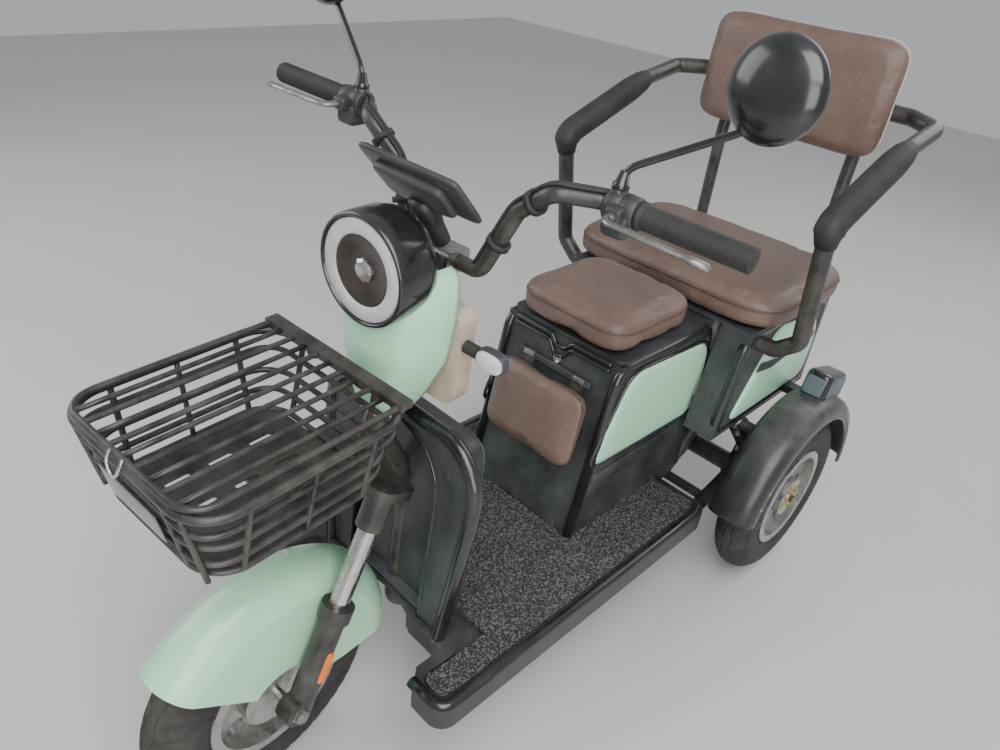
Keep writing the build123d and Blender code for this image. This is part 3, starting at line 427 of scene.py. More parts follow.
def brown_vinyl():
    """Pebbled brown vinyl with soft bumps, large patches from painted shade to worn plain brown, and painted sheen
    spots.
    """
    vinyl = Finish("brown_vinyl", Coat_Weight=0.08, Coat_Roughness=0.35)
    # painted shade and worn patches: the dark end is a shaded tone of the vinyl, the pale end is plain brown and
    # rougher with use
    wear_and_shade = vinyl.between(vinyl.noise(6, 4, 0.6), 0.35, 0.75)
    colour = vinyl.blend(wear_and_shade, (0.12, 0.076, 0.06), (0.185, 0.122, 0.096))
    # painted sheen: small pale spots in the lit tone of the vinyl
    painted_sheen = vinyl.between(vinyl.noise(90, 5, 0.6), 0.56, 0.72) * 0.25
    colour = vinyl.blend(painted_sheen, colour, (0.31, 0.22, 0.19))
    vinyl.set(Base_Color=colour, Roughness=wear_and_shade * 0.14 + 0.4)
    vinyl.bump(vinyl.cells(900), 0.22, 0.0006)
    return vinyl.bump(vinyl.noise(30, 3), 0.12, 0.003).material


def coil_mat():
    """Grey and black strands of a looped vinyl mat."""
    mat = Finish("coil_mat", Roughness=0.7)
    strand = mat.noise(330, 2, 0.5)
    pale = mat.between(strand, 0.5, 0.58)
    mat.set(Base_Color=mat.blend(pale, (0.02, 0.02, 0.021), (0.13, 0.13, 0.13)))
    return mat.bump(strand, 1.0, 0.003).material


def plain_plastic(name, colour, dirt, rough=0.4):
    """Coloured plastic with a film of dirt."""
    plastic = Finish(name)
    film = plastic.between(plastic.noise(24, 5, 0.65), 0.45, 0.75)
    plastic.set(Base_Color=plastic.blend(film * 0.6, colour, dirt), Roughness=film * 0.2 + rough)
    return plastic.bump(plastic.noise(500, 2), 0.08, 0.0004).material


def clear_lens():
    """Milky ribbed plastic that lets a little light through."""
    lens = Finish("clear_lens", Roughness=0.12, Transmission_Weight=0.18, IOR=1.45)
    milk = lens.between(lens.noise(60, 4), 0.4, 0.7)
    lens.set(Base_Color=lens.blend(milk, (0.8, 0.8, 0.78), (0.62, 0.6, 0.56)))
    return lens.bump(lens.noise(180, 2, 0.5, (1, 1, 0.1)), 0.3, 0.001).material


def gloss_black():
    """Smooth black plastic with a coat, thin dust and hairline scratches."""
    gloss = Finish("gloss_black", Coat_Weight=0.6, Coat_Roughness=0.15)
    dust = gloss.between(gloss.noise(9, 5, 0.65), 0.45, 0.8)
    colour = gloss.blend(dust * 0.35, (0.01, 0.011, 0.012), (0.075, 0.078, 0.078))
    scratch = gloss.between(gloss.noise(70, 4, 0.6, (1, 1, 0.15)), 0.68, 0.76) * 0.25
    colour = gloss.blend(scratch, colour, (0.2, 0.2, 0.2))
    gloss.set(Base_Color=colour, Roughness=dust * 0.25 + 0.2)
    return gloss.bump(gloss.noise(500, 2), 0.05, 0.0003).material


def dusty_gloss():
    """Black fender plastic with dust in patches, lighter grey-green and rougher in patches towards its top."""
    fender = Finish("dusty_gloss", Coat_Weight=0.35, Coat_Roughness=0.25)
    up = fender.add("ShaderNodeSeparateXYZ", {}, {"Vector": fender.place}, "Z")
    high = fender.between(up, 0.36, 0.43)
    dust = fender.between(fender.noise(20, 6, 0.65), 0.3, 0.75)
    colour = fender.blend(dust * 0.25, (0.013, 0.014, 0.015), (0.09, 0.09, 0.085))
    # lighter grey-green towards the top, in the same patches
    colour = fender.blend(high * dust * 0.6, colour, (0.17, 0.185, 0.165))
    fender.set(Base_Color=colour, Roughness=dust * 0.25 + high * 0.2 + 0.24)
    return fender.bump(fender.noise(500, 2), 0.06, 0.0003).material


def mirror_glass():
    """Silvered glass with a few dull smears."""
    glass = Finish("mirror_glass", Metallic=1.0)
    smear = glass.between(glass.noise(18, 4, 0.6), 0.55, 0.8)
    colour = glass.blend(smear, (0.78, 0.8, 0.81), (0.55, 0.56, 0.56))
    glass.set(Base_Color=colour, Roughness=smear * 0.2 + 0.04)
    return glass.bump(glass.noise(12, 2), 0.02, 0.0005).material


FINISHES = {
    "tyre": tyre_rubber(),
    "alloy": dirty_alloy("cast_alloy"),
    "steel": dirty_alloy("dirty_steel", (0.4, 0.39, 0.37)),
    "chrome": rusty_chrome(),
    "black_metal": black_enamel(),
    "mint": mint_gloss(),
    "black_plastic": moulded_black(),
    "grey_plastic": plain_plastic("grey_plastic", (0.17, 0.18, 0.19), (0.09, 0.085, 0.08)),
    "cream": plain_plastic("cream_plastic", (0.5, 0.4, 0.31), (0.22, 0.16, 0.11)),
    "lens": clear_lens(),
    "rubber": plain_plastic("grip_rubber", (0.02, 0.02, 0.02), (0.06, 0.058, 0.055), 0.6),
    "mat": coil_mat(),
    "vinyl": brown_vinyl(),
}
GLOSS = gloss_black()

for part in frame["record"]["subparts"]:
    node = frame["nodes"][part["node"]]
    node.data.materials.clear()
    node.data.materials.append(FINISHES[part["material_slot"]])


# Wheels
TYRE_RADIUS = 0.192
TYRE_HALF = 0.04
BEAD_RADIUS = 0.1083
CROWN_SHARE = 0.62
SHOULDER_DROP = 0.026
GROOVE_DEPTH = 0.0036
SLANTED_GROOVES = 46
ZIGZAGS = 23
HALF_TRACK = 0.298
WHEELBASE = 1.08


def treaded_tyre(centre):
    """Tyre round X: its radius less the crown's fall, and less a groove in slanted cuts and a zigzag."""
    strip = np.linspace(-1, 1, 61)
    place = strip / CROWN_SHARE
    crown = np.abs(strip) < CROWN_SHARE
    side = np.clip((np.abs(strip) - CROWN_SHARE) / (1 - CROWN_SHARE), 0, 1)
    bulge = 0.97 + 0.06 * np.sin(pi * side) - 0.19 * side**2
    along = np.where(crown, place * TYRE_HALF * 0.97, np.sign(strip) * TYRE_HALF * bulge)
    shoulder = TYRE_RADIUS - SHOULDER_DROP
    tread = TYRE_RADIUS - SHOULDER_DROP * np.abs(place) ** 2.6
    out = np.where(crown, tread, shoulder - side * (shoulder - BEAD_RADIUS))

    turn = turns(480)[:, None]
    off_middle = np.abs(place)
    wave = np.sin(SLANTED_GROOVES * turn + 5.5 * off_middle)
    in_band = np.clip((off_middle - 0.3) * 9, 0, 1) * np.clip((1.06 - off_middle) * 9, 0, 1)
    slanted = np.clip((wave - 0.35) * 4, 0, 1) * in_band
    zigzag_line = 0.24 + 0.05 * np.sin(ZIGZAGS * turn)
    zigzag = np.clip(1.4 - np.abs(off_middle - zigzag_line) * 26, 0, 1)
    radius = out - np.maximum(slanted, zigzag * crown) * GROOVE_DEPTH
    across = np.broadcast_to(along, radius.shape)
    return np.stack([across, radius * np.cos(turn), radius * np.sin(turn)], -1) + centre, True, True


def tyres():
    """Three treaded tyres; the front one leans and turns with the steering."""
    for word, side in (("left", 1), ("right", -1)):
        tyre = treaded_tyre((side * HALF_TRACK, 0.0, TYRE_RADIUS))
        fixed_piece(f"tyre_{word}", [tyre], "tyre", [f"rear_tyre_{word}"], body=f"rear_wheel_{word}")
    tyre = treaded_tyre((0.0, -WHEELBASE, TYRE_RADIUS))
    steered_piece("tyre_front", [tyre], "tyre", ["front_tyre"], body="front_wheel")


def wheel_nuts():
    """Four brass nuts on a circle and a domed cap on each rear hub."""
    circle = 0.028
    hub_face = 0.333
    nut = ((0, 0), (0, 0.0075), (0.0038, 0.0075), (0.0046, 0.0062), (0.0046, 0))
    cap = ((0, 0), (0, 0.015), (0.0025, 0.0145), (0.0045, 0.011), (0.005, 0))
    brass = dirty_alloy("brass_nuts", (0.6, 0.43, 0.16))
    for word, side in (("left", 1), ("right", -1)):
        outward = (side, 0, 0)
        shapes = []
        for turn in np.arange(4) * pi / 2 + 0.4:
            spot = (side * hub_face, circle * cos(turn), TYRE_RADIUS + circle * sin(turn))
            shapes.append(revolved(nut, spot, outward, 6))
        shapes.append(revolved(cap, (side * (hub_face + 0.0005), 0, TYRE_RADIUS), outward, 40))
        body = f"rear_wheel_{word}"
        fixed_piece(f"wheel_nuts_{word}", shapes, "steel", finish=brass, body=body, smooth=False)


# Head
def headlamp():
    """Drum, pale ring, dark dish and a small faceted lens, each a profile turned about the lamp's axis."""
    centre = (0.0, -0.908, 0.838)
    drum = (
        (0.014, 0), (0.014, 0.0685), (0.001, 0.069), (0.0, 0.071), (0.001, 0.0735), (0.005, 0.075),
        (0.02, 0.0755), (0.05, 0.075), (0.064, 0.0715), (0.073, 0.064), (0.078, 0.053),
        (0.0805, 0.038), (0.081, 0),
    )
    shapes = [revolved(drum, centre, REARWARD, 96)]
    steered_piece("lamp_drum", shapes, "black_plastic", ["headlamp_shell"], GLOSS)

    ring = (
        (0.012, 0.047), (0.003, 0.047), (0.0018, 0.049), (0.0012, 0.056), (0.0018, 0.0655),
        (0.003, 0.0675), (0.012, 0.0675),
    )
    ring_grey = plain_plastic("lamp_ring_grey", (0.56, 0.57, 0.57), (0.33, 0.32, 0.3), 0.32)
    shapes = [revolved(ring, centre, REARWARD, 96, hollow=True)]
    steered_piece("lamp_ring", shapes, "grey_plastic", ["headlamp_ring"], ring_grey)

    dish = (
        (0.0125, 0), (0.0125, 0.0465), (0.004, 0.0465), (0.0045, 0.044), (0.0085, 0.03),
        (0.01, 0.02), (0.0105, 0),
    )
    dish_brown = plain_plastic("lamp_dish_brown", (0.03, 0.022, 0.019), (0.075, 0.06, 0.05), 0.16)
    shapes = [revolved(dish, centre, REARWARD, 72)]
    steered_piece("lamp_dish", shapes, "black_plastic", ["headlamp_lens"], dish_brown)

    bead = (
        (0.0105, 0), (0.0105, 0.0155), (0.007, 0.016), (0.0045, 0.012), (0.003, 0.006), (0.0028, 0),
    )
    steered_piece("lamp_bead", [revolved(bead, centre, REARWARD, 8)], "chrome", smooth=False)
    neck = block((0, -0.826, 0.792), LEFT, REARWARD, (0.018, 0.011, 0.007))
    steered_piece("lamp_neck", [neck], "black_metal")


def mask():
    """Mint shell: x = half width * sin(u), y falls from the front to the rear edge as 1 - |u|^2.6."""
    wall = 0.0035
    levels = np.array([0.606, 0.609, 0.616, 0.64, 0.67, 0.7, 0.74, 0.78, 0.805, 0.825, 0.836, 0.84])
    half_at_height = (
        (0.606, 0.03), (0.609, 0.034), (0.616, 0.039), (0.64, 0.05), (0.7, 0.0705),
        (0.76, 0.0795), (0.8, 0.081), (0.825, 0.078), (0.836, 0.0715), (0.84, 0.062),
    )
    front_at_height = (
        (0.606, -0.881), (0.616, -0.886), (0.64, -0.892), (0.7, -0.9), (0.79, -0.896),
        (0.84, -0.876),
    )
    rear_at_height = ((0.606, -0.85), (0.64, -0.822), (0.7, -0.8045), (0.84, -0.8045))
    tables = (half_at_height, front_at_height, rear_at_height)
    half, front, rear = (read_off(levels, table)[:, None] for table in tables)
    bow = np.linspace(-1, 1, 49)

    def skin(inset):
        """The outside, or what lies an inset within it."""
        x = (half - inset) * np.sin(bow * pi / 2)
        y = rear + (front + inset - rear) * (1 - np.abs(bow) ** 2.6)
        return np.stack([x, y, np.broadcast_to(levels[:, None], x.shape)], -1)

    steered_piece("mask_shell", [walled(skin(0.0), skin(wall))], "mint", ["mask"])


def turn_signals():
    """Oval lenses on boots whose radius waves along their length."""
    centre = (0.133, -0.786, 0.724)
    start, end = 0.0853, 0.116
    x = np.linspace(start, end, 40)
    path = np.stack([x, np.full(40, -0.787), np.full(40, 0.724)], -1)
    boot = tube(path, 0.0085 + 0.0012 * np.sin((x - start) * 1400), 24)
    back = block(centre, LEFT, UPWARD, (0.024, 0.016, 0.01), 3.0, 3.5)
    lens = block((0.133, -0.794, 0.724), LEFT, UPWARD, (0.0218, 0.0138, 0.0085), 2.8, 2.6, 24, 64)
    steered_piece("signal_boots", both([boot]), "rubber")
    steered_piece("signal_backs", both([back]), "black_plastic")
    steered_piece("signal_lenses", both([lens]), "lens", ["turn_signals"])


# Basket: its rim and foot are rounded loops
BASKET_HALF = 0.137
BASKET_FRONT = -1.228
BASKET_REAR = -0.938
BASKET_FOOT = 0.602
BASKET_DEPTH = 0.11
BASKET_TAPER = 0.022
BASKET_BEND = 0.0432
LID_HEIGHT = 0.7226


def basket_line(share):
    """Loop of the basket's outline, drawn in as it goes down: share 0 at the foot, 1 at the rim."""
    drawn = BASKET_TAPER * (1 - share)
    half = BASKET_HALF - drawn
    front = BASKET_FRONT + drawn
    rear = BASKET_REAR - drawn
    loop = filleted([(half, front), (half, rear), (-half, rear), (-half, front)], BASKET_BEND, 12, True)
    return np.column_stack([loop, np.full(len(loop), BASKET_FOOT + BASKET_DEPTH * share)])


def basket():
    """More wires on its sides and on the lid, a bare front plate and a latch hook on the lid's front."""
    rim = BASKET_FOOT + BASKET_DEPTH
    wires = [tube(basket_line(share), 0.004, 10, closed=True) for share in (0.24, 0.76)]
    for x in (-0.105, 0.105):
        upright = np.linspace((x, BASKET_FRONT, rim), (x, BASKET_FRONT + BASKET_TAPER, BASKET_FOOT), 6)
        wires.append(tube(upright, 0.0036, 10, LEFT))
    for side in (1, -1):
        top = (side * BASKET_HALF, -1.083, rim)
        foot = (side * (BASKET_HALF - BASKET_TAPER), -1.083, BASKET_FOOT)
        wires.append(tube(np.linspace(top, foot, 6), 0.0036, 10))
    steered_piece("basket_wires", wires, "black_metal")

    slope = (0, -BASKET_TAPER, BASKET_DEPTH)
    plate = block((0, -1.2235, 0.655), LEFT, slope, (0.058, 0.026, 0.0018), 9, 3)
    steered_piece("basket_plate", [plate], "black_plastic", finish=GLOSS)

    hook = rounded([
        (-0.012, -1.231, 0.728), (-0.013, -1.238, 0.716), (-0.004, -1.239, 0.702),
        (0.004, -1.239, 0.702), (0.013, -1.238, 0.716), (0.012, -1.231, 0.728),
    ], 10)
    steered_piece("basket_hook", [tube(hook, 0.002, 10, REARWARD)], "chrome", body="basket_lid")

    rods = []
    for x in (-0.1, -0.05, 0.0, 0.05, 0.1):
        rod = np.linspace((x, BASKET_FRONT + 0.0025, LID_HEIGHT), (x, BASKET_REAR - 0.012, LID_HEIGHT), 8)
        rods.append(tube(rod, 0.0034, 12))
    steered_piece("lid_wires", rods, "black_metal", body="basket_lid")


# Handlebar: what sits on its straight ends is placed along the bar's axis
def on_bar(x, back=0.0, up=0.0):
    """Point beside the axis of the bar's straight end, at a distance from the middle."""
    return np.array([x, -0.709 + back, 0.958 + up])


def mirrors():
    """Domed backs on bent stalks, with glass towards the rider."""
    axis = (0.15, 1.0, -0.1)
    centre = (0.35, -0.668, 1.12)
    bends = [(0.224, -0.707, 1.004), (0.335, -0.662, 1.074)]
    stalk = filleted([on_bar(0.222, 0, 0.021), *bends, (0.345, -0.668, 1.108)], 0.016)
    nut = ((0, 0), (0, 0.0105), (0.008, 0.011), (0.01, 0.0085), (0.024, 0.006), (0.025, 0))
    shapes = [tube(stalk, 0.0046, 16, REARWARD), revolved(nut, on_bar(0.222, 0, 0.019), (0.08, 0.08, 1), 6)]
    dome = (
        (0.0062, 0), (0.0062, 0.052), (0.007, 0.0545), (0.0055, 0.0558), (0.001, 0.056),
        (-0.006, 0.052), (-0.012, 0.043), (-0.017, 0.03), (-0.0195, 0.015), (-0.02, 0),
    )
    glass = ((0.006, 0), (0.006, 0.0515), (0.0074, 0.051), (0.0078, 0.04), (0.008, 0.02), (0.0081, 0))
    domes = both([revolved(dome, centre, axis, 72)])
    panes = both([revolved(glass, centre, axis, 72)])
    steered_piece("mirror_domes", domes, "black_plastic", ["mirrors"], GLOSS)
    steered_piece("mirror_stalks", both(shapes), "black_metal", finish=GLOSS)
    steered_piece("mirror_glass", panes, "chrome", finish=mirror_glass())


def grips():
    """Sleeves with fine rings: radius = 15 mm + a small sine along the bar, behind a collar."""
    ring_pitch = 0.003
    along = np.linspace(0, 0.138, 277)
    sleeve = 0.015 + 0.0006 * np.sin(along * 2 * pi / ring_pitch)
    collar = [(0, 0.0), (0, 0.0178), (0.004, 0.0178), (0.006, 0.0155)]
    tip = [(0.1445, 0.014), (0.146, 0)]
    profile = np.vstack([collar, np.stack([along + 0.006, sleeve], -1)[3:], tip])
    steered_piece("grip_sleeves", both([revolved(profile, on_bar(0.256), LEFT, 40)]), "rubber", ["grips"])


def switches():
    """Housings with a lower box, a lever perch, a mirror boss, a button and a rocker."""
    barrel = (
        (0, 0), (0, 0.0178), (0.002, 0.0195), (0.0195, 0.02), (0.0205, 0.0188), (0.0225, 0.0188),
        (0.0235, 0.02), (0.0405, 0.0195), (0.0425, 0.0178), (0.0425, 0),
    )
    boss = ((0, 0), (0, 0.011), (0.01, 0.01), (0.012, 0))
    button = ((0, 0), (0, 0.0055), (0.004, 0.005), (0.0052, 0.003), (0.0055, 0))
    shapes = [
        revolved(barrel, on_bar(0.212), LEFT, 56),
        block(on_bar(0.234, -0.004, -0.016), LEFT, REARWARD, (0.0175, 0.019, 0.0155), 6, 5),
        block(on_bar(0.236, -0.022), LEFT, REARWARD, (0.0115, 0.012, 0.01), 5, 4),
        revolved(boss, on_bar(0.222, 0, 0.012), UPWARD, 32),
    ]
    steered_piece("switch_pods", both(shapes), "black_plastic", ["switch_housings"])
    shapes = [
        revolved(button, on_bar(0.226, 0.016, -0.014), REARWARD, 24),
        block(on_bar(0.242, 0.0155, -0.013), LEFT, UPWARD, (0.006, 0.0045, 0.003), 5, 4),
    ]
    steered_piece("switch_buttons", both(shapes), "grey_plastic")


def brake_levers():
    """Flat blades with a ball at the end."""
    perch = [on_bar(0.236, -0.024), on_bar(0.239, -0.054)]
    path = filleted([*perch, (0.33, -0.76, 0.955), (0.372, -0.755, 0.952)], 0.018)
    half_along = ((0, 0.007), (0.25, 0.0065), (0.9, 0.0052), (0.95, 0.007), (1, 0.007))
    half = read_off(np.linspace(0, 1, len(path)), half_along)
    steered_piece("lever_blades", both([tube(path, half, 18, flat=0.62)]), "steel", ["brake_levers"])


def display():
    """Thin tablet with a rounded edge and a pane, over a hood on its post."""
    outward = unit((0, 0.73, 0.68))
    upward = unit((0, -0.68, 0.73))
    screen = np.array([0, -0.818, 0.926]) + outward * 0.01
    post = filleted([(0, -0.76, 0.842), (0, -0.782, 0.876), (0, -0.808, 0.912)], 0.01)
    shapes = [
        block(screen, LEFT, upward, (0.086, 0.046, 0.0055), 9, 4),
        block(screen - outward * 0.01, LEFT, upward, (0.06, 0.03, 0.009), 7, 4),
        tube(post, np.linspace(0.013, 0.017, len(post)), 20, LEFT),
    ]
    steered_piece("display_case", shapes, "black_plastic", ["display"])
    pane = block(screen + outward * 0.0045, LEFT, upward, (0.0815, 0.0415, 0.0016), 12, 3)
    pane_black = plain_plastic("display_pane", (0.012, 0.013, 0.015), (0.05, 0.05, 0.05), 0.1)
    steered_piece("display_glass", [pane], "black_plastic", finish=pane_black)


def bar_cables():
    """Cables tied along the top of the bar, from the display's bracket to each switch housing."""
    rise = [(0.066, -0.7521, 0.818), (0.108, -0.743, 0.918), (0.16, -0.751, 0.962)]
    run = filleted([*rise, on_bar(0.204), on_bar(0.214)], 0.013)
    lead = [run[0] + (run[1] - run[0]) * t for t in np.linspace(0, 0.9, 8)]
    path = np.vstack([lead, run[1:]])
    cables = [tube(beside(path, 0.0134, turn), 0.0025, 10, REARWARD) for turn in (-0.25, 0.2)]
    steered_piece("bar_cables", both(cables), "rubber")

    band = ((0, 0.0112), (0, 0.017), (0.008, 0.017), (0.008, 0.0112))
    ties = []
    for start, end in zip(np.array(rise[:-1]), np.array(rise[1:])):
        along = unit(end - start)
        ties.append(revolved(band, (start + end) / 2 - along * 0.004, along, 28, hollow=True))
    steered_piece("cable_ties", both(ties), "rubber")


# Fork
FORK_LEAN = radians(24)
UP_LEG = np.array([0, sin(FORK_LEAN), cos(FORK_LEAN)])
AHEAD = np.array([0, -cos(FORK_LEAN), sin(FORK_LEAN)])
LEG_FOOT = np.array([0.074, -1.0709, 0.1879])


def fork_trim():
    """Amber reflectors, axle nuts and a clipped cable behind the left leg."""
    spot = LEG_FOOT + UP_LEG * 0.086 + (0.0205, 0, 0)
    reflector = block(spot, AHEAD, UP_LEG, (0.0065, 0.027, 0.003), 6, 4)
    amber = plain_plastic("amber_reflector", (0.85, 0.2, 0.02), (0.45, 0.12, 0.03), 0.18)
    steered_piece("fork_reflectors", both([reflector]), "lens", finish=amber)

    nut = (
        (0, 0), (0, 0.015), (0.0015, 0.015), (0.0016, 0.0115), (0.008, 0.0115), (0.009, 0.01),
        (0.009, 0.0062), (0.0105, 0.0055), (0.0105, 0),
    )
    nuts = both([revolved(nut, (0.0888, -WHEELBASE, TYRE_RADIUS), LEFT, 6)])
    steered_piece("axle_nuts", nuts, "steel", smooth=False)

    path = np.stack([LEG_FOOT + UP_LEG * t - AHEAD * 0.0235 for t in np.linspace(0.02, 0.172, 12)])
    clip = ((0, 0), (0, 0.0045), (0.006, 0.0045), (0.006, 0))
    clips = [revolved(clip, path[i], UP_LEG, 16) for i in (1, 6, 10)]
    steered_piece("fork_cable", [tube(path, 0.003, 12, LEFT), *clips], "rubber")


# Leg shield: a leaning plate, with places on it given across and up from its foot
SHIELD_FOOT = np.array([0, -0.846, 0.229])
SHIELD_UP = unit((0, 0.034, 0.376))
SHIELD_OUT = np.cross(LEFT, SHIELD_UP)
ARCH_RADIUS = 0.095
ARCH_RISE = 0.235
SHIELD_LIFT = 0.009


def on_shield(flat, out):
    """Points across and up the shield, at a depth out of it."""
    flat = np.asarray(flat)
    depth = np.broadcast_to(out, flat.shape[:-1])[..., None]
    return SHIELD_FOOT + flat[..., :1] * np.array(LEFT) + flat[..., 1:] * SHIELD_UP + depth * SHIELD_OUT


def leg_shield():
    """Plate between an arch and the outer edge, swollen by sin^2 between them, with a bead along each."""
    count = 121
    leg_share = 0.36
    left = [(0.156, SHIELD_LIFT), (0.184, 0.27), (0.184, 0.33), (0.134, 0.376)]
    edge = filleted([(-x, y) for x, y in left] + left[::-1], 0.03)
    length = np.hstack([0, np.cumsum(np.linalg.norm(np.diff(edge, axis=0), axis=1))])
    share = np.linspace(0, 1, count)
    edge = np.stack([np.interp(share * length[-1], length, edge[:, i]) for i in (0, 1)], -1)

    turn = pi * (1 - np.clip((share - leg_share) / (1 - 2 * leg_share), 0, 1))
    rise = np.minimum(np.clip(share / leg_share, 0, 1), np.clip((1 - share) / leg_share, 0, 1))
    arch_up = SHIELD_LIFT + ARCH_RISE * rise + ARCH_RADIUS * np.sin(turn)
    arch = np.stack([ARCH_RADIUS * np.cos(turn), arch_up], -1)
    outer = edge - np.sign(edge[:, :1]) * (0.008, 0)
    spread = np.linspace(0, 1, 15)[:, None, None]
    plate = arch + spread * (outer - arch)
    swell = 0.004 + 0.007 * np.sin(pi * spread[..., 0]) ** 2 * np.clip(rise * 3, 0, 1)
    back = on_shield(plate[::-1], np.zeros_like(swell))
    section = np.concatenate([on_shield(plate, swell), back], axis=0).transpose(1, 0, 2)
    closed = np.pad(section, ((1, 1), (0, 0), (0, 0)))
    closed[0] = section[0].mean(axis=0)
    closed[-1] = section[-1].mean(axis=0)
    fixed_piece("shield_plate", [(closed, False, True)], "black_plastic", ["leg_shield"])

    edge_line = on_shield(edge * (0.935, 1) - (0, 0.011), 0.003)
    arch_line = on_shield(arch, 0.002)
    beads = [tube(edge_line, 0.0115, 20, SHIELD_OUT), tube(arch_line, 0.0045, 14, SHIELD_OUT)]
    fixed_piece("shield_beads", beads, "black_plastic", finish=GLOSS)


def knee_tray():
    """Tray behind the shield, |x|^9 + |y|^9 = 1: a dark wall round it, a liner and a mint back."""
    height = 0.19
    half_width = 0.141
    half_height = 0.172
    angle = turns(120)
    across = half_width * signed_power(np.cos(angle), 2 / 9)
    up = height + half_height * signed_power(np.sin(angle), 2 / 9)
    loop = np.stack([across, up], -1)
    middle = loop.mean(axis=0)

    def stepped(size_and_depth):
        """The loop, scaled about its middle and sunk, once for each (size, depth) pair."""
        size, depth = np.array(size_and_depth).T
        return on_shield(middle + size[:, None, None] * (loop - middle), depth[:, None])

    wall = stepped((
        (1.0, 0.002), (1.0, -0.02), (1.0, -0.038), (0.985, -0.0425),
        (0.955, -0.0425), (0.955, -0.039), (0.97, -0.036), (0.99, -0.001),
    ))
    fixed_piece("knee_wall", [(wall, True, True)], "black_plastic")
    liner = block(on_shield((0.0, height), -0.02), LEFT, SHIELD_UP, (0.138, 0.169, 0.005), 9, 4)
    fixed_piece("arch_liner", [liner], "black_plastic")
    tray = stepped((
        (0.0, -0.05), (0.5, -0.0498), (0.8, -0.0492), (0.93, -0.0482),
        (0.965, -0.0465), (0.975, -0.0435), (0.965, -0.0405), (0.0, -0.044),
    ))
    fixed_piece("knee_tray", [(tray, False, True)], "mint", ["knee_panel"])


def floor_rim():
    """Rounded rim on the floor's open sides."""
    left = [(0.18, -0.93, 0.231), (0.249, -0.93, 0.231), (0.249, -0.239, 0.231)]
    line = filleted(left + [(-x, y, z) for x, y, z in left[::-1]], 0.028)
    fixed_piece("floor_rim", [tube(line, 0.0098, 18)], "black_plastic", finish=GLOSS)


# Seat box: the front face slopes, up along FACE_UP and forward along FACE_OUT
FACE_UP = unit((0, 0.071, 0.349))
FACE_OUT = unit((0, -0.349, 0.071))


def seat_box():
    """Beads along the side edges, crowned mint panels with a trim line, and a ledge under them."""
    x = 0.1295
    corners = [(x, -0.5165, 0.24), (x, -0.4515, 0.5785), (x, -0.166, 0.5785), (x, -0.166, 0.245)]
    beads = both([tube(filleted(corners, 0.03), 0.0095, 18, LEFT)])
    fixed_piece("box_beads", beads, "black_plastic", finish=GLOSS)

    corners = [(-0.5, 0.395), (-0.172, 0.385), (-0.158, 0.5), (-0.176, 0.552), (-0.417, 0.566)]
    outline = filleted(corners, 0.036, 12, True)
    fixed_piece("box_side_panels", both([crowned(outline, 0.1353, 0.0062)]), "mint", ["seat_box_panels"])
    middle = outline.mean(axis=0)
    line = np.column_stack([np.full(len(outline), 0.1362), middle + (outline - middle) * 1.035])
    trims = both([tube(line, 0.0034, 10, LEFT, closed=True)])
    fixed_piece("box_side_trim", trims, "black_plastic", finish=GLOSS)
    ledge = block((0.1355, -0.345, 0.36), REARWARD, UPWARD, (0.135, 0.012, 0.006), 6, 4)
    fixed_piece("box_ledges", both([ledge]), "black_plastic")


def seat_lip():
    """Two ridges under the lid's front, whose middles dip by exp(-x^4), and a round lock below them."""
    across = np.linspace(-0.112, 0.112, 61)
    dip = np.exp(-((across / 0.02) ** 4))
    lips = []
    for front, height, radius, drop in ((-0.4535, 0.5835, 0.0045, 0.015), (-0.457, 0.573, 0.0035, 0.021)):
        line = np.stack([across, front - 0.003 * dip, height - drop * dip], -1)
        lips.append(tube(line, radius, 12))
    fixed_piece("seat_lip", lips, "black_plastic", finish=GLOSS)
    lock = ((0, 0), (0, 0.0088), (0.0035, 0.0085), (0.0042, 0.007), (0.003, 0.006), (0.0032, 0))
    fixed_piece("seat_lock", [revolved(lock, (0, -0.4585, 0.544), FACE_OUT, 28)], "chrome")


def fold_pad_hinge():
    """Hinge strip above the fold-down pad, with two steel plates on it."""
    centre = np.array([0, -0.4612, 0.528]) + FACE_OUT * 0.006 + FACE_UP * 0.002
    strip = block(centre, LEFT, FACE_UP, (0.086, 0.007, 0.004), 8, 4)
    fixed_piece("pad_strip", [strip], "black_plastic")
    plates = []
    for x in (-0.06, 0.06):
        spot = centre + FACE_OUT * 0.0035 + (x, 0, 0)
        plates.append(block(spot, LEFT, FACE_UP, (0.012, 0.0055, 0.0015), 6, 3))
    fixed_piece("pad_plates", plates, "steel")


def rear_body():
    """Beads round both sides, and crowned mint panels with a plain dark taper and a pale line on each."""
    x = 0.2065
    corners = [(x, -0.198, 0.384), (x, -0.158, 0.584), (x, 0.16, 0.584), (x, 0.16, 0.384)]
    loop = filleted(corners, 0.03, 12, True)
    beads = both([tube(loop, 0.0115, 18, LEFT, closed=True)])
    fixed_piece("body_beads", beads, "black_plastic", finish=GLOSS)

    corners = [(-0.168, 0.398), (-0.056, 0.582), (0.118, 0.56), (0.15, 0.5), (0.143, 0.4)]
    panel = crowned(filleted(corners, 0.03, 12, True), 0.2163, 0.0078)
    fixed_piece("body_panels", both([panel]), "mint", ["rear_body_panels"])
    corners = [
        (-0.112, 0.497), (-0.1, 0.516), (-0.04, 0.497), (0.128, 0.52), (0.13, 0.5), (-0.05, 0.486),
    ]
    taper = crowned(filleted(corners, 0.006, 8, True), 0.2228, 0.0014)
    fixed_piece("body_tapers", both([taper]), "black_plastic")

    share = np.linspace(0, 1, 24)
    along = np.linspace(-0.035, 0.126, 24)
    line = np.column_stack([np.full(24, 0.2238), along, 0.505 + share**1.3 * 0.022])
    white = plain_plastic("white_line", (0.62, 0.64, 0.62), (0.35, 0.36, 0.33), 0.35)
    fixed_piece("body_lines", both([tube(line, 0.001, 8)]), "mint", finish=white)


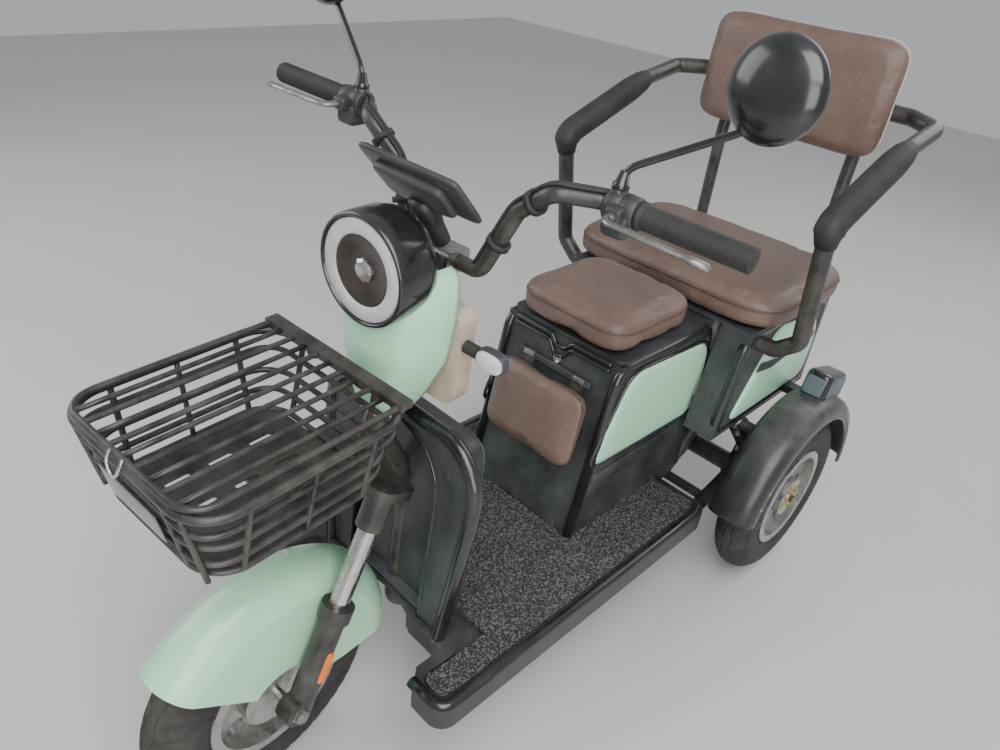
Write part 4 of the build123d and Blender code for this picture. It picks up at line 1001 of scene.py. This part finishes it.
def arm_pads():
    """Thick rubber over the arm tubes, drawn in at both ends."""
    x = 0.288
    bent = filleted([(x, -0.1605, 0.8), (x, -0.168, 0.838), (x, 0.076, 0.9283)], 0.03, 14)
    straight = np.linspace(bent[-2], bent[-1], 14)[1:]
    path = np.vstack([bent[:-1], straight])
    last = len(path) - 1
    radius_at_point = (
        (0, 0.0185), (1, 0.0225), (3, 0.0255), (last - 3, 0.0255), (last - 1, 0.0225), (last, 0.0185),
    )
    radius = read_off(np.arange(len(path)), radius_at_point)
    fixed_piece("arm_pads", both([tube(path, radius, 28, LEFT)]), "rubber")


def on_wheel_circle(x, radius, turn):
    """Points at a radius from the rear axle, at a turn up from the rear."""
    places = (x + 0 * turn, radius * np.cos(turn), TYRE_RADIUS + radius * np.sin(turn))
    return np.stack(places, -1)


def rear_fenders():
    """Channel of (across, out) pairs turned about the axle, with a hem bead and two screws on each."""
    channel = np.array((
        (0.251, 0.146), (0.25, 0.214), (0.2545, 0.228), (0.265, 0.2375), (0.28, 0.2415),
        (0.3, 0.242), (0.32, 0.241), (0.335, 0.237), (0.3445, 0.2285), (0.349, 0.216),
        (0.3498, 0.202),
    ))
    wall = 0.0038
    along = np.gradient(channel, axis=0)
    normal = np.stack([along[:, 1], -along[:, 0]], -1) / np.linalg.norm(along, axis=1, keepdims=True)
    turn = np.linspace(radians(168.6), radians(1.9), 84)[:, None]
    outer, inner = (on_wheel_circle(*line.T, turn) for line in (channel, channel + normal * wall))
    shapes = both([walled(outer, inner)])
    fixed_piece("fender_shells", shapes, "black_plastic", ["rear_fenders"], dusty_gloss())

    hem = on_wheel_circle(0.347, 0.202, np.linspace(radians(168), radians(2.5), 70))
    fixed_piece("fender_hems", both([tube(hem, 0.003, 12, LEFT)]), "black_plastic", finish=GLOSS)
    screw = ((-0.001, 0), (-0.001, 0.0048), (0.0008, 0.0044), (0.001, 0))
    spots = on_wheel_circle(0.349, 0.2105, np.radians([157, 147]))
    fixed_piece("fender_screws", both([revolved(screw, spot, LEFT, 20) for spot in spots]), "steel")


def tail_blocks():
    """Blocks on the fenders, with blue-grey side and front plates and a red lens behind."""
    tilt = radians(16)
    rearward = unit((0, cos(tilt), -sin(tilt)))
    upward = unit((0, sin(tilt), cos(tilt)))
    centre = np.array([0.296, 0.072, 0.438])
    housing = block(centre, rearward, upward, (0.056, 0.034, 0.028), 7, 5, 20, 64)
    fixed_piece("tail_blocks", both([housing]), "black_plastic", finish=GLOSS)
    plates = [
        block(centre + (0.0272, 0, 0.003), rearward, upward, (0.043, 0.022, 0.0018), 8, 3),
        block(centre - rearward * 0.0552 + (0, 0, 0.002), LEFT, upward, (0.02, 0.02, 0.0018), 7, 3),
    ]
    blue_grey = plain_plastic("blue_grey_plastic", (0.11, 0.14, 0.16), (0.07, 0.07, 0.07), 0.42)
    fixed_piece("tail_plates", both(plates), "grey_plastic", finish=blue_grey)
    lens = block(centre + rearward * 0.0545, LEFT, upward, (0.022, 0.024, 0.0042), 6, 4, 20, 56)
    red = plain_plastic("red_lens", (0.4, 0.012, 0.012), (0.16, 0.02, 0.02), 0.12)
    fixed_piece("tail_lenses", both([lens]), "lens", finish=red)


def rear_shocks():
    """Helix of wire, foot + run * t + radius * (cos a, sin a), round a damper with an eye at each end."""
    foot = np.array([0.2, 0.026, 0.244])
    head = np.array([0.2, -0.064, 0.345])
    run = unit(head - foot)
    span = np.linalg.norm(head - foot)
    t = np.linspace(0, 1, 241)[:, None]
    angle = 2 * pi * 6.5 * t
    lay = np.clip(t * 1.1 - 0.05, 0, 1)
    around = np.cos(angle) * np.array(LEFT) + np.sin(angle) * np.cross(run, LEFT)
    helix = foot + run * (0.025 + lay * (span - 0.052)) + 0.019 * around
    spring = both([tube(helix, 0.0032, 10, run)])
    fixed_piece("shock_springs", spring, "black_metal", ["rear_shocks"], GLOSS)

    profile = (
        (0.01, 0), (0.01, 0.011), (0.019, 0.0125), (0.02, 0.0225), (0.0235, 0.0225), (0.024, 0.0105),
        (0.06, 0.0105), (0.061, 0.007), (span - 0.03, 0.007), (span - 0.0285, 0.022),
        (span - 0.0245, 0.0225), (span - 0.022, 0.012), (span - 0.011, 0.011), (span - 0.011, 0),
    )
    shapes = [revolved(profile, foot, run, 32)]
    for spot, bore in ((foot, 0.0082), (head, 0.0122)):
        eye = ((-0.012, bore), (-0.012, 0.0165), (0.012, 0.0165), (0.012, bore))
        shapes.append(revolved(eye, spot, LEFT, 36, hollow=True))
    fixed_piece("shock_dampers", both(shapes), "black_metal", finish=FINISHES["steel"])


for part_maker in (
    tyres, wheel_nuts, headlamp, mask, turn_signals, basket, mirrors, grips, switches, brake_levers,
    display, bar_cables, fork_trim, leg_shield, knee_tray, floor_rim, seat_box, seat_lip,
    fold_pad_hinge, rear_body, arm_pads, rear_fenders, tail_blocks, rear_shocks,
):
    part_maker()


# Cushions: a rounded slab, remeshed, blown up as cloth and capped
VOXEL = 0.006
PRESSURE = 4.0
LAST_FRAME = 20
PIPING_SUNK = 0.35
FLAT_EASE = (0.06, 0.06, 1.0)
UPRIGHT_EASE = (0.06, 1.0, 0.06)


def skin_of(piece):
    """Vertices of a piece, one row each."""
    skin = np.empty(len(piece.data.vertices) * 3)
    piece.data.vertices.foreach_get("co", skin)
    return skin.reshape(-1, 3)


def blow_up(cushion, cap, ease):
    """Cloth pressure without gravity; each move is eased by axis and capped in length."""
    start = skin_of(cushion)
    cloth = cushion.modifiers.new("cloth", "CLOTH")
    cloth.settings.use_pressure = True
    cloth.settings.uniform_pressure_force = PRESSURE
    cloth.settings.effector_weights.gravity = 0.0
    cloth.settings.quality = 4
    for step in range(1, LAST_FRAME + 1):
        scene.frame_set(step)
    bpy.ops.object.modifier_apply(modifier=cloth.name)
    scene.frame_set(1)
    move = (skin_of(cushion) - start) * ease
    length = np.linalg.norm(move, axis=1, keepdims=True)
    move *= np.minimum(1, cap / np.maximum(length, 1e-9))
    if ease == FLAT_EASE:
        move[:, 2] = np.maximum(move[:, 2], -0.0005)
    cushion.data.vertices.foreach_set("co", (start + move).ravel())


def stuffed(name, points, body, node, cap, ease):
    """Cushion from a closed grid: voxel remesh, cloth pressure, then one subdivision."""
    cushion = mesh_of(name, [shell(points, loop_columns=True)])
    bpy.context.view_layer.objects.active = cushion
    for other in bpy.context.selected_objects:
        other.select_set(False)
    cushion.select_set(True)
    remesh = cushion.modifiers.new("remesh", "REMESH")
    remesh.mode = "VOXEL"
    remesh.voxel_size = VOXEL
    bpy.ops.object.modifier_apply(modifier=remesh.name)
    blow_up(cushion, cap, ease)
    smooth = cushion.modifiers.new("smooth", "SUBSURF")
    smooth.levels = smooth.render_levels = 1
    bpy.ops.object.modifier_apply(modifier=smooth.name)
    cushion.data.polygons.foreach_set("use_smooth", np.ones(len(cushion.data.polygons), bool))
    dress(cushion, body, "vinyl", [node])
    return cushion


def box_of(node):
    """Lowest and highest corners of a node."""
    return (np.array(corner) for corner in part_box(node))


def flat_slab(node, plan, edge):
    """Slab that fills a node's box, drawn in at its sides and its top."""
    low, high = box_of(node)
    half = (high - low) / 2 - np.array([0.0015, 0.0015, 0.003])
    return slab_grid(half, plan, edge, 64, 128) + ((low + high) / 2 - (0, 0, 0.002))


def leaning_slab(node, lean, thick, plan, edge):
    """Slab stood on its edge and leaned back, drawn in from a node's box."""
    drawn = 0.003
    low, high = box_of(node)
    half = ((high[0] - low[0]) / 2 - drawn, (high[2] - low[2]) / 2 - drawn, thick / 2 - drawn)
    points = slab_grid(half, plan, edge, 40, 96)
    x, upward, out = points[..., 0], points[..., 1], points[..., 2]
    turned = np.stack([x, upward * sin(lean) - out * cos(lean), upward * cos(lean) + out * sin(lean)], -1)
    return turned + (low + high) / 2


def band_reach(flat, depth, level, steps):
    """Furthest skin from the middle in each direction, in a band one voxel above and below a level."""
    band = np.abs(depth - level) < VOXEL
    angle = np.arctan2(flat[band, 1], flat[band, 0])
    reach = np.hypot(flat[band, 0], flat[band, 1])
    furthest = np.zeros(steps)
    np.maximum.at(furthest, ((angle + pi) / (2 * pi) * steps).astype(int) % steps, reach)
    filled = np.flatnonzero(furthest)
    return np.interp(np.arange(steps), filled, furthest[filled], period=steps)


def piping(cushion, body, across, share, radius, finish):
    """Cord round a cushion at a share of its depth, partly sunk in the furthest skin of that band."""
    steps = 180
    skin = skin_of(cushion)
    deep = ({0, 1, 2} - set(across)).pop()
    middle = (skin.min(axis=0) + skin.max(axis=0)) / 2
    flat = (skin - middle)[:, across]
    tilt = np.polyfit(flat[:, 1], skin[:, deep], 1) if deep == 1 else (0.0, middle[deep])
    depth = skin[:, deep] - np.polyval(tilt, flat[:, 1])
    level = depth.min() + share * np.ptp(depth)
    furthest = band_reach(flat, depth, level, steps) - radius * PIPING_SUNK
    turn = (np.arange(steps) + 0.5) / steps * 2 * pi - pi
    line = np.zeros((steps, 3))
    line[:, across[0]] = furthest * np.cos(turn) + middle[across[0]]
    line[:, across[1]] = furthest * np.sin(turn) + middle[across[1]]
    line[:, deep] = np.polyval(tilt, furthest * np.sin(turn)) + level
    line = (line + np.roll(line, 1, axis=0) + np.roll(line, -1, axis=0)) / 3
    cord = mesh_of(f"{cushion.name}_piping", [shell(*tube(line, radius, 8, np.eye(3)[deep], closed=True))])
    dress(cord, body, "vinyl", finish=finish)


def cushions():
    """Two flat seats, the backrest and the fold-down pad, each with piping along its seam."""
    brown = plain_plastic("seam_brown", (0.07, 0.045, 0.037), (0.16, 0.11, 0.09), 0.5)
    cream = plain_plastic("cream_piping", (0.5, 0.48, 0.44), (0.3, 0.27, 0.23), 0.45)
    plan = [0, 1]
    face = [0, 2]
    points = flat_slab("front_cushion", 5.5, 5.6)
    front_seat = stuffed("front_seat", points, "seat_lid", "front_cushion", 0.008, FLAT_EASE)
    points = flat_slab("bench_cushion", 6.0, 6.0)
    bench = stuffed("bench", points, "frame", "bench_cushion", 0.008, FLAT_EASE)
    points = leaning_slab("backrest_cushion", 0.07, 0.05, 8.0, 3.6)
    backrest = stuffed("backrest", points, "frame", "backrest_cushion", 0.006, UPRIGHT_EASE)
    points = leaning_slab("front_pad", 0.2, 0.04, 7.0, 3.4)
    fold_pad = stuffed("fold_pad", points, "front_pad", "front_pad", 0.005, UPRIGHT_EASE)
    piping(front_seat, "seat_lid", plan, 0.6, 0.002, brown)
    piping(bench, "frame", plan, 0.6, 0.0022, brown)
    piping(backrest, "frame", face, 0.72, 0.0022, cream)
    piping(fold_pad, "front_pad", face, 0.45, 0.0018, brown)


cushions()


# Floor, light and camera
def studio():
    """Pale floor and a plain grey world."""
    reach = 6.0
    corners = np.array([[(-reach, -reach, 0), (reach, -reach, 0)], [(-reach, reach, 0), (reach, reach, 0)]])
    floor = mesh_of("studio_floor", [shell(corners)], smooth=False)
    pale = Finish("pale_floor", Roughness=0.55)
    pale.set(Base_Color=pale.blend(pale.noise(3, 2), (0.6, 0.59, 0.57), (0.64, 0.63, 0.61)))
    floor.data.materials.append(pale.material)
    world = bpy.data.worlds.new("studio")
    world.use_nodes = True
    background = world.node_tree.nodes["Background"]
    background.inputs["Color"].default_value = (0.8, 0.83, 0.86, 1.0)
    background.inputs["Strength"].default_value = 0.55
    scene.world = world


def softbox(name, place, aim, size, watts):
    """Square area light at a place, facing a point."""
    light = bpy.data.lights.new(name, "AREA")
    light.size = size
    light.energy = watts
    lamp = bpy.data.objects.new(name, light)
    lamp.location = place
    lamp.rotation_euler = (Vector(aim) - Vector(place)).to_track_quat("-Z", "Y").to_euler()
    scene.collection.objects.link(lamp)


def photo_camera():
    """Camera at the photograph's solved view, turned by azimuth and elevation and rolled about its axis."""
    azimuth = radians(41.964)
    elevation = radians(32.17)
    roll = radians(6.425)
    eye = here([0.7316, -1.4224, 1.2535])
    back = np.array([sin(azimuth) * cos(elevation), -cos(azimuth) * cos(elevation), sin(elevation)])
    level = np.array([cos(azimuth), sin(azimuth), 0.0])
    above = np.cross(back, level)
    right = level * cos(roll) + above * sin(roll)
    up = -level * sin(roll) + above * cos(roll)
    view = np.eye(4)
    view[:3] = np.column_stack([right, up, back, eye])
    lens = bpy.data.cameras.new("camera")
    lens.lens = 27.826
    lens.sensor_width = 36.0
    lens.clip_start = 0.05
    camera = bpy.data.objects.new("camera", lens)
    camera.matrix_world = Matrix(view.tolist())
    scene.collection.objects.link(camera)
    scene.camera = camera


studio()
softbox("key", place=(1.6, -1.2, 3.0), aim=(0, 0, 0.4), size=2.2, watts=88)
softbox("side", place=(-2.6, -1.4, 2.0), aim=(0, 0, 0.5), size=2.0, watts=34)
softbox("near", place=(2.4, -2.2, 1.3), aim=(0, 0, 0.5), size=1.8, watts=46)
softbox("back", place=(0.6, 2.8, 2.4), aim=(0, 0, 0.6), size=2.0, watts=30)
photo_camera()
